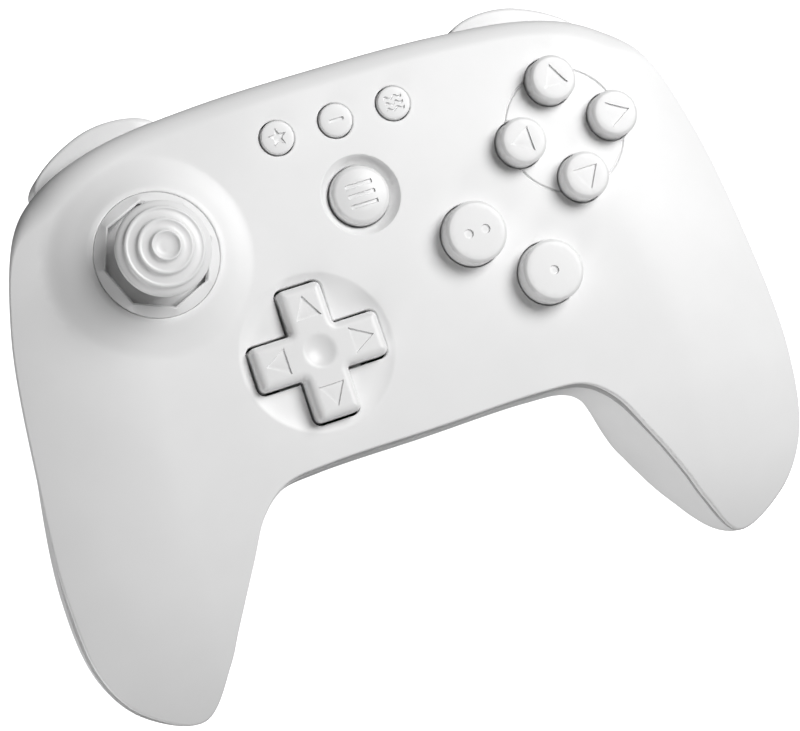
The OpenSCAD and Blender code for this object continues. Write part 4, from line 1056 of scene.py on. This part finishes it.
def star_mark(r):
    """Five-pointed star."""
    a = np.radians(90 + 36 * np.arange(10))
    size = np.where(np.arange(10) % 2 == 0, r, 0.45 * r)
    return rounded(np.column_stack([size * np.cos(a), size * np.sin(a)]), 0.1, 2)


def bar_mark(w, h, y=0):
    """Short bar with slightly rounded ends."""
    return rounded([(-w / 2, y - h / 2), (w / 2, y - h / 2), (w / 2, y + h / 2), (-w / 2, y + h / 2)], 0.16)


def wave_mark(y):
    """Wavy line."""
    x = np.linspace(-1.8, 1.8, 25)
    w = 0.25 * np.sin(x / 1.8 * 2 * np.pi)
    up = np.column_stack([x, y + w + 0.22])
    down = np.column_stack([x, y + w - 0.22])
    return np.vstack([down, up[::-1]])


MARKS = {
    "start_button": [bar_mark(5.4, 0.8, y) for y in (-1.9, 0, 1.9)],
    "star_button": [star_mark(1.9)],
    "minus_button": [bar_mark(3, 0.7)],
    "wave_button": [wave_mark(y) for y in (-1.1, 0, 1.1)],
    "ring_button_up": [triangle_mark(90, TRIANGLE_R)],
    "ring_button_right": [triangle_mark(0, TRIANGLE_R)],
    "ring_button_down": [triangle_mark(-90, TRIANGLE_R)],
    "ring_button_left": [triangle_mark(180, TRIANGLE_R)],
    "upper_action_button": [circle((x, 0), DOT_R, 32) for x in (-1.7, 1.7)],
    "lower_action_button": [circle((0, 0), DOT_R, 32)],
}


def marked_top(shape, at, edge, marks, height, deep, pitch):
    """Top of a control with sunk marks; edge is its outline round the middle. Gives the edge's numbers."""
    loops = [edge]
    for mark in marks:
        loops += [mark, drawn_in(mark, MARK_WALL)]
    dots = scatter(edge, np.vstack(loops), pitch)
    xy, triangles, rings = flat_sheet(loops, [], dots)
    z = height(*xy.T)
    for floor in loops[2::2]:
        z = z - deep * within(floor, xy)
    for ring in rings[2::2]:
        z[ring] = height(*xy[ring].T) - deep
    for ring in rings[1::2]:
        z[ring] = height(*xy[ring].T)
    top = shape.add(np.column_stack([xy + at, z]))
    shape.faces += [tuple(int(i) for i in top[t]) for t in triangles]
    return top[rings[0]]


class GAMEPAD_OT_push_buttons(bpy.types.Operator):
    """Push buttons: start, the three menu buttons, the four in the ring and the two action buttons"""

    bl_idname = "gamepad.push_buttons"
    bl_label = "Push buttons"

    def execute(self, context):
        for name, (at, d, rise, plunger) in BUTTONS.items():
            at, r, n = np.array(at, float), d / 2, 96
            top = float(face_z(*at)) + rise
            shape = Shape()
            over = MENU_FLANGE if d < 7 else FLANGE
            ball = (r * r + START_CROWN ** 2) / (2 * START_CROWN)

            def height(x, y, top=top, ball=ball, dome=name == "start_button", wide=r):
                """Top of the button: part of a ball on the start button, a slight crown on the others."""
                rr = x * x + y * y
                return top - (ball - np.sqrt(ball * ball - rr) if dome else 0.06 * rr / wide ** 2)

            if name == "start_button":
                skirt = [(r, -0.77), (r - 0.07, -0.39), (r - 0.26, -0.06), (r - 0.52, 0.17),
                         (r - 0.76, 0.28), (r - 0.88, 0.31)]
            else:
                low_bevel = [(0, 0.42), (0.05, 0.22), (0.16, 0.1), (0.34, 0.06)]
                high_bevel = [(0, 0.67), (0.05, 0.53), (0.14, 0.41), (0.42, 0.15), (0.52, 0.08)]
                skirt = [(r - dx, top - dz) for dx, dz in (low_bevel if rise < 1 else high_bevel)]
            edge = circle((0, 0), skirt[-1][0] - 0.12, n)
            ring = marked_top(shape, at, edge, MARKS[name], height, MARK_DEEP, 0.7)
            profile = skirt[::-1] + [(r, FLANGE_TOP), (r + over, FLANGE_TOP), (r + over, FLANGE_TOP - 1),
                                     (plunger, FLANGE_TOP - 1), (plunger, PLUNGER_END)]
            shape.cap(shape.onward(ring, [level(circle(at, radius, n), z) for radius, z in profile]))
            obj = new_piece(f"{name}_look", shape)
            settle(obj, name, name, white_control(context.scene.gamepad_look), 32)
        return {"FINISHED"}


class GAMEPAD_OT_direction_pad(bpy.types.Operator):
    """Direction pad: a cross with rounded edges, a thumb dimple and a sunk triangle on each arm"""

    bl_idname = "gamepad.direction_pad"
    bl_label = "Direction pad"

    def execute(self, context):
        shape = Shape()

        def height(x, y):
            """Flat top with the thumb dimple in its middle."""
            sunk = PAD_TOP + DIMPLE_R - DIMPLE_DEEP
            ball = sunk - np.sqrt(np.maximum(DIMPLE_R ** 2 - x * x - y * y, 0))
            return soft_min(np.full(x.shape, PAD_TOP), np.where(np.hypot(x, y) < 4, ball, 99), 0.06)

        marks = []
        for turn in (0, 90, 180, 270):
            a = math.radians(turn)
            at = PAD_MARK_AT * np.array([math.cos(a), math.sin(a)])
            marks.append(triangle_mark(turn, TRIANGLE_R) + at)
        ring = marked_top(shape, PAD[:2], cross_outline(-PAD_EDGE), marks, height, MARK_DEEP, 0.42)
        rows = []
        for angle in (70, 50, 30, 15, 0):
            a = math.radians(angle)
            q = cross_outline(-PAD_EDGE * (1 - math.cos(a))) + PAD[:2]
            rows.append(level(q, PAD_TOP - PAD_EDGE * (1 - math.sin(a))))
        flange = PAD_FLANGE
        rows.append(level(cross_outline(0) + PAD[:2], flange - 1))
        shape.cap(shape.onward(ring, rows))
        shape.revolve([(0, flange), (9.2, flange), (9.2, flange - 1), (0, flange - 1)], PAD, 64)
        # The cup that sits on the pivot post
        shape.revolve([
            (0, flange - 0.5), (3.6, flange - 0.5), (3.6, PAD[2] - 0.6), (2.45, PAD[2] - 0.6),
            (2.45, PAD[2]), (0, PAD[2] + 2.45)], PAD, 48)
        # A stub under each arm presses the membrane
        for turn in (0, 90, 180, 270):
            a = math.radians(turn)
            at = PAD[:2] + 7.4 * np.array([math.cos(a), math.sin(a)])
            shape.prism(circle(at, 1.6, 24), PAD[2] - 0.8, flange - 0.5)
        obj = new_piece("direction_pad_look", shape)
        settle(obj, "direction_pad", "direction_pad",
               white_control(context.scene.gamepad_look), 34)
        return {"FINISHED"}


class GAMEPAD_OT_inner_parts(bpy.types.Operator):
    """Finishes of the parts that keep their own solids: electronics, gimbal, springs, pins and screws"""

    bl_idname = "gamepad.inner_parts"
    bl_label = "Inner parts"

    def execute(self, context):
        look = context.scene.gamepad_look
        # Compression-moulded silicone: soft, dull and slightly see-through
        silicone = surface("moulded_silicone", "a8aaad", 0.55, 0.5, 0.004, 0.05, **{"IOR": 1.41})
        # Moulded acetal: slippery, waxy and a little shiny
        acetal = surface("moulded_acetal", "c3c3c4", 0.38, 0.6, 0.003, 0.04, **{"IOR": 1.48})
        # Black glass-filled nylon: dull, with the fibres' fine mottling
        nylon = surface("moulded_black_nylon", "202124", 0.5, 0.4, 0.006, 0.12, **{"IOR": 1.53})
        # Drawn spring steel and nickel-plated pressings: grey metal with fine draw marks
        steel = surface("drawn_steel", "b9babd", 0.3, 0.25, 0.002, 0.06, **{"Metallic": 1.0})
        # Sintered tungsten alloy: dark, grainy metal
        heavy = surface("sintered_tungsten", "8d8a80", 0.46, 0.3, 0.008, 0.1, **{"Metallic": 1.0})
        # Glass-epoxy board under green solder mask: glossy lacquer over a faint weave
        board = surface("lacquered_glass_epoxy", "1f5a37", 0.32, 0.8, 0.004, 0.12, **{"IOR": 1.55})
        # Smoked polycarbonate light guide: shiny dark windows
        guide = surface("polished_polycarbonate", "34373b", 0.18, 0.8, 0.001, 0.05, **{"IOR": 1.58})
        # Lamp bodies of yellow phosphor under clear resin
        phosphor = surface("cast_phosphor_resin", "d9cf8a", 0.35, 0.3, 0.003, 0.1, **{"IOR": 1.5})
        # Shrink film round the cell: thin, shiny and tight
        film = surface("shrunk_pvc_film", "3a5685", 0.24, 1.2, 0.006, 0.06, **{"IOR": 1.53})
        # Extruded wire insulation
        wire = surface("extruded_pvc", "a02a24", 0.42, 0.6, 0.003, 0.06, **{"IOR": 1.53})
        # Natural nylon of the plug housing
        natural = surface("moulded_natural_nylon", "e6e1cf", 0.42, 0.5, 0.003, 0.05, **{"IOR": 1.53})
        finishes = {
            silicone: ["pad_membrane", "menu_membrane", "ring_membrane", "action_membrane"],
            acetal: ["stick_cross_yoke", "stick_arch_yoke", "pad_pivot_cup", "pad_pivot_post"],
            nylon: ["stick_housing", "bumper_switches", "trigger_switches", "pair_switch", "board_chips"],
            steel: ["stick_shaft", "left_trigger_pin", "right_trigger_pin", "left_trigger_spring",
                    "right_trigger_spring", "usb_port", "mode_switch_body", "left_rumble_motor",
                    "right_rumble_motor", "shell_screws", "board_screws"],
            heavy: ["left_rumble_weight", "right_rumble_weight"],
            board: ["main_board", "stick_sensors"],
            guide: ["light_bar"],
            phosphor: ["status_lamps"],
            film: ["battery_cell"],
            wire: ["battery_lead"],
            natural: ["battery_connector"],
            white_control(look): ["pair_button", "mode_slider"],
        }
        left = set(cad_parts) - {n for names in finishes.values() for n in names}
        shown = [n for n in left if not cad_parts[n].hide_render]
        if shown:
            raise RuntimeError(f"these parts have no finish: {sorted(shown)}")
        for material, names in finishes.items():
            for name in names:
                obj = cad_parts[name]
                obj.data.materials.clear()
                obj.data.materials.append(material)
        for name in ("pair_button", "mode_slider"):
            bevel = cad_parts[name].modifiers.new("soft_edges", "BEVEL")
            bevel.width = 0.2 * MM
            bevel.segments = 3
            bevel.limit_method = "ANGLE"
        return {"FINISHED"}


class GAMEPAD_OT_stage(bpy.types.Operator):
    """Stage: a pale floor, three soft lights, an even fill and the camera"""

    bl_idname = "gamepad.stage"
    bl_label = "Stage"

    def execute(self, context):
        setup = context.scene.gamepad_stage
        half = 3.0
        mesh = bpy.data.meshes.new("floor")
        corners = [(-half, -half, 0), (half, -half, 0), (half, half, 0), (-half, half, 0)]
        mesh.from_pydata(corners, [], [(0, 1, 2, 3)])
        ground = bpy.data.objects.new("floor", mesh)
        context.scene.collection.objects.link(ground)
        # Matt studio paper lit from below, as on a light table: white, without shine or deep shadows
        mesh.materials.append(surface("backlit_studio_paper", setup.floor, 0.9, 2, 0.01, 0.005, **{
            "Emission Color": linear("ffffff"), "Emission Strength": setup.glow}))
        # The floor gives the object no light and casts no shadow: the light from below passes through it
        ground.visible_diffuse = False
        ground.visible_glossy = False
        ground.visible_shadow = False
        world = bpy.data.worlds.new("studio")
        world.use_nodes = True
        backdrop = world.node_tree.nodes["Background"]
        backdrop.inputs["Color"].default_value = linear("ffffff")
        backdrop.inputs["Strength"].default_value = setup.fill
        context.scene.world = world
        context.scene.view_settings.view_transform = "Standard"
        aim = Vector(ORIGIN * MM)
        for name, (way, distance, size) in LIGHTS.items():
            self.light(context, name, aim, Vector(way), distance, size, getattr(setup, name))
        axis = Vector(CAMERA_TURN)
        turn = Matrix.Rotation(axis.length, 3, axis.normalized()).transposed()
        place = -(turn @ Vector(CAMERA_SHIFT)) * MM + aim
        eye = bpy.data.cameras.new("photo_camera")
        eye.lens = setup.lens
        eye.sensor_width = SENSOR
        eye.clip_start = 0.01
        eye.clip_end = 20
        camera = bpy.data.objects.new("photo_camera", eye)
        camera.matrix_world = Matrix.Translation(place) @ (turn @ Matrix.Diagonal((1, -1, -1))).to_4x4()
        context.scene.collection.objects.link(camera)
        context.scene.camera = camera
        return {"FINISHED"}

    def light(self, context, name, aim, way, distance, size, power):
        """Square soft light that looks at a place from a direction."""
        lamp = bpy.data.lights.new(name, "AREA")
        lamp.size = size
        lamp.energy = power
        obj = bpy.data.objects.new(name, lamp)
        obj.matrix_world = Matrix.Translation(aim + way.normalized() * distance) @ \
            way.to_track_quat("Z", "Y").to_matrix().to_4x4()
        context.scene.collection.objects.link(obj)


PIECES = (
    GAMEPAD_OT_front_shell, GAMEPAD_OT_rear_shell, GAMEPAD_OT_bumpers, GAMEPAD_OT_triggers,
    GAMEPAD_OT_thumbstick, GAMEPAD_OT_push_buttons, GAMEPAD_OT_direction_pad, GAMEPAD_OT_inner_parts,
    GAMEPAD_OT_stage,
)


class GAMEPAD_PT_panel(bpy.types.Panel):
    """Sidebar panel with the finishes and the operators"""

    bl_idname = "GAMEPAD_PT_panel"
    bl_label = "Gamepad"
    bl_space_type = "VIEW_3D"
    bl_region_type = "UI"
    bl_category = "Gamepad"

    def draw(self, context):
        for group in (context.scene.gamepad_look, context.scene.gamepad_stage):
            for key in group.__annotations__:
                self.layout.prop(group, key)
        for piece in PIECES:
            self.layout.operator(piece.bl_idname)


CLASSES = (GamepadLook, GamepadStage) + PIECES + (GAMEPAD_PT_panel,)


def register():
    for cls in CLASSES:
        bpy.utils.register_class(cls)
    bpy.types.Scene.gamepad_look = bpy.props.PointerProperty(type=GamepadLook)
    bpy.types.Scene.gamepad_stage = bpy.props.PointerProperty(type=GamepadStage)


def unregister():
    del bpy.types.Scene.gamepad_stage
    del bpy.types.Scene.gamepad_look
    for cls in reversed(CLASSES):
        bpy.utils.unregister_class(cls)


def main():
    register()
    for piece in PIECES:
        group, name = piece.bl_idname.split(".")
        getattr(getattr(bpy.ops, group), name)()


if __name__ == "__main__":
    main()
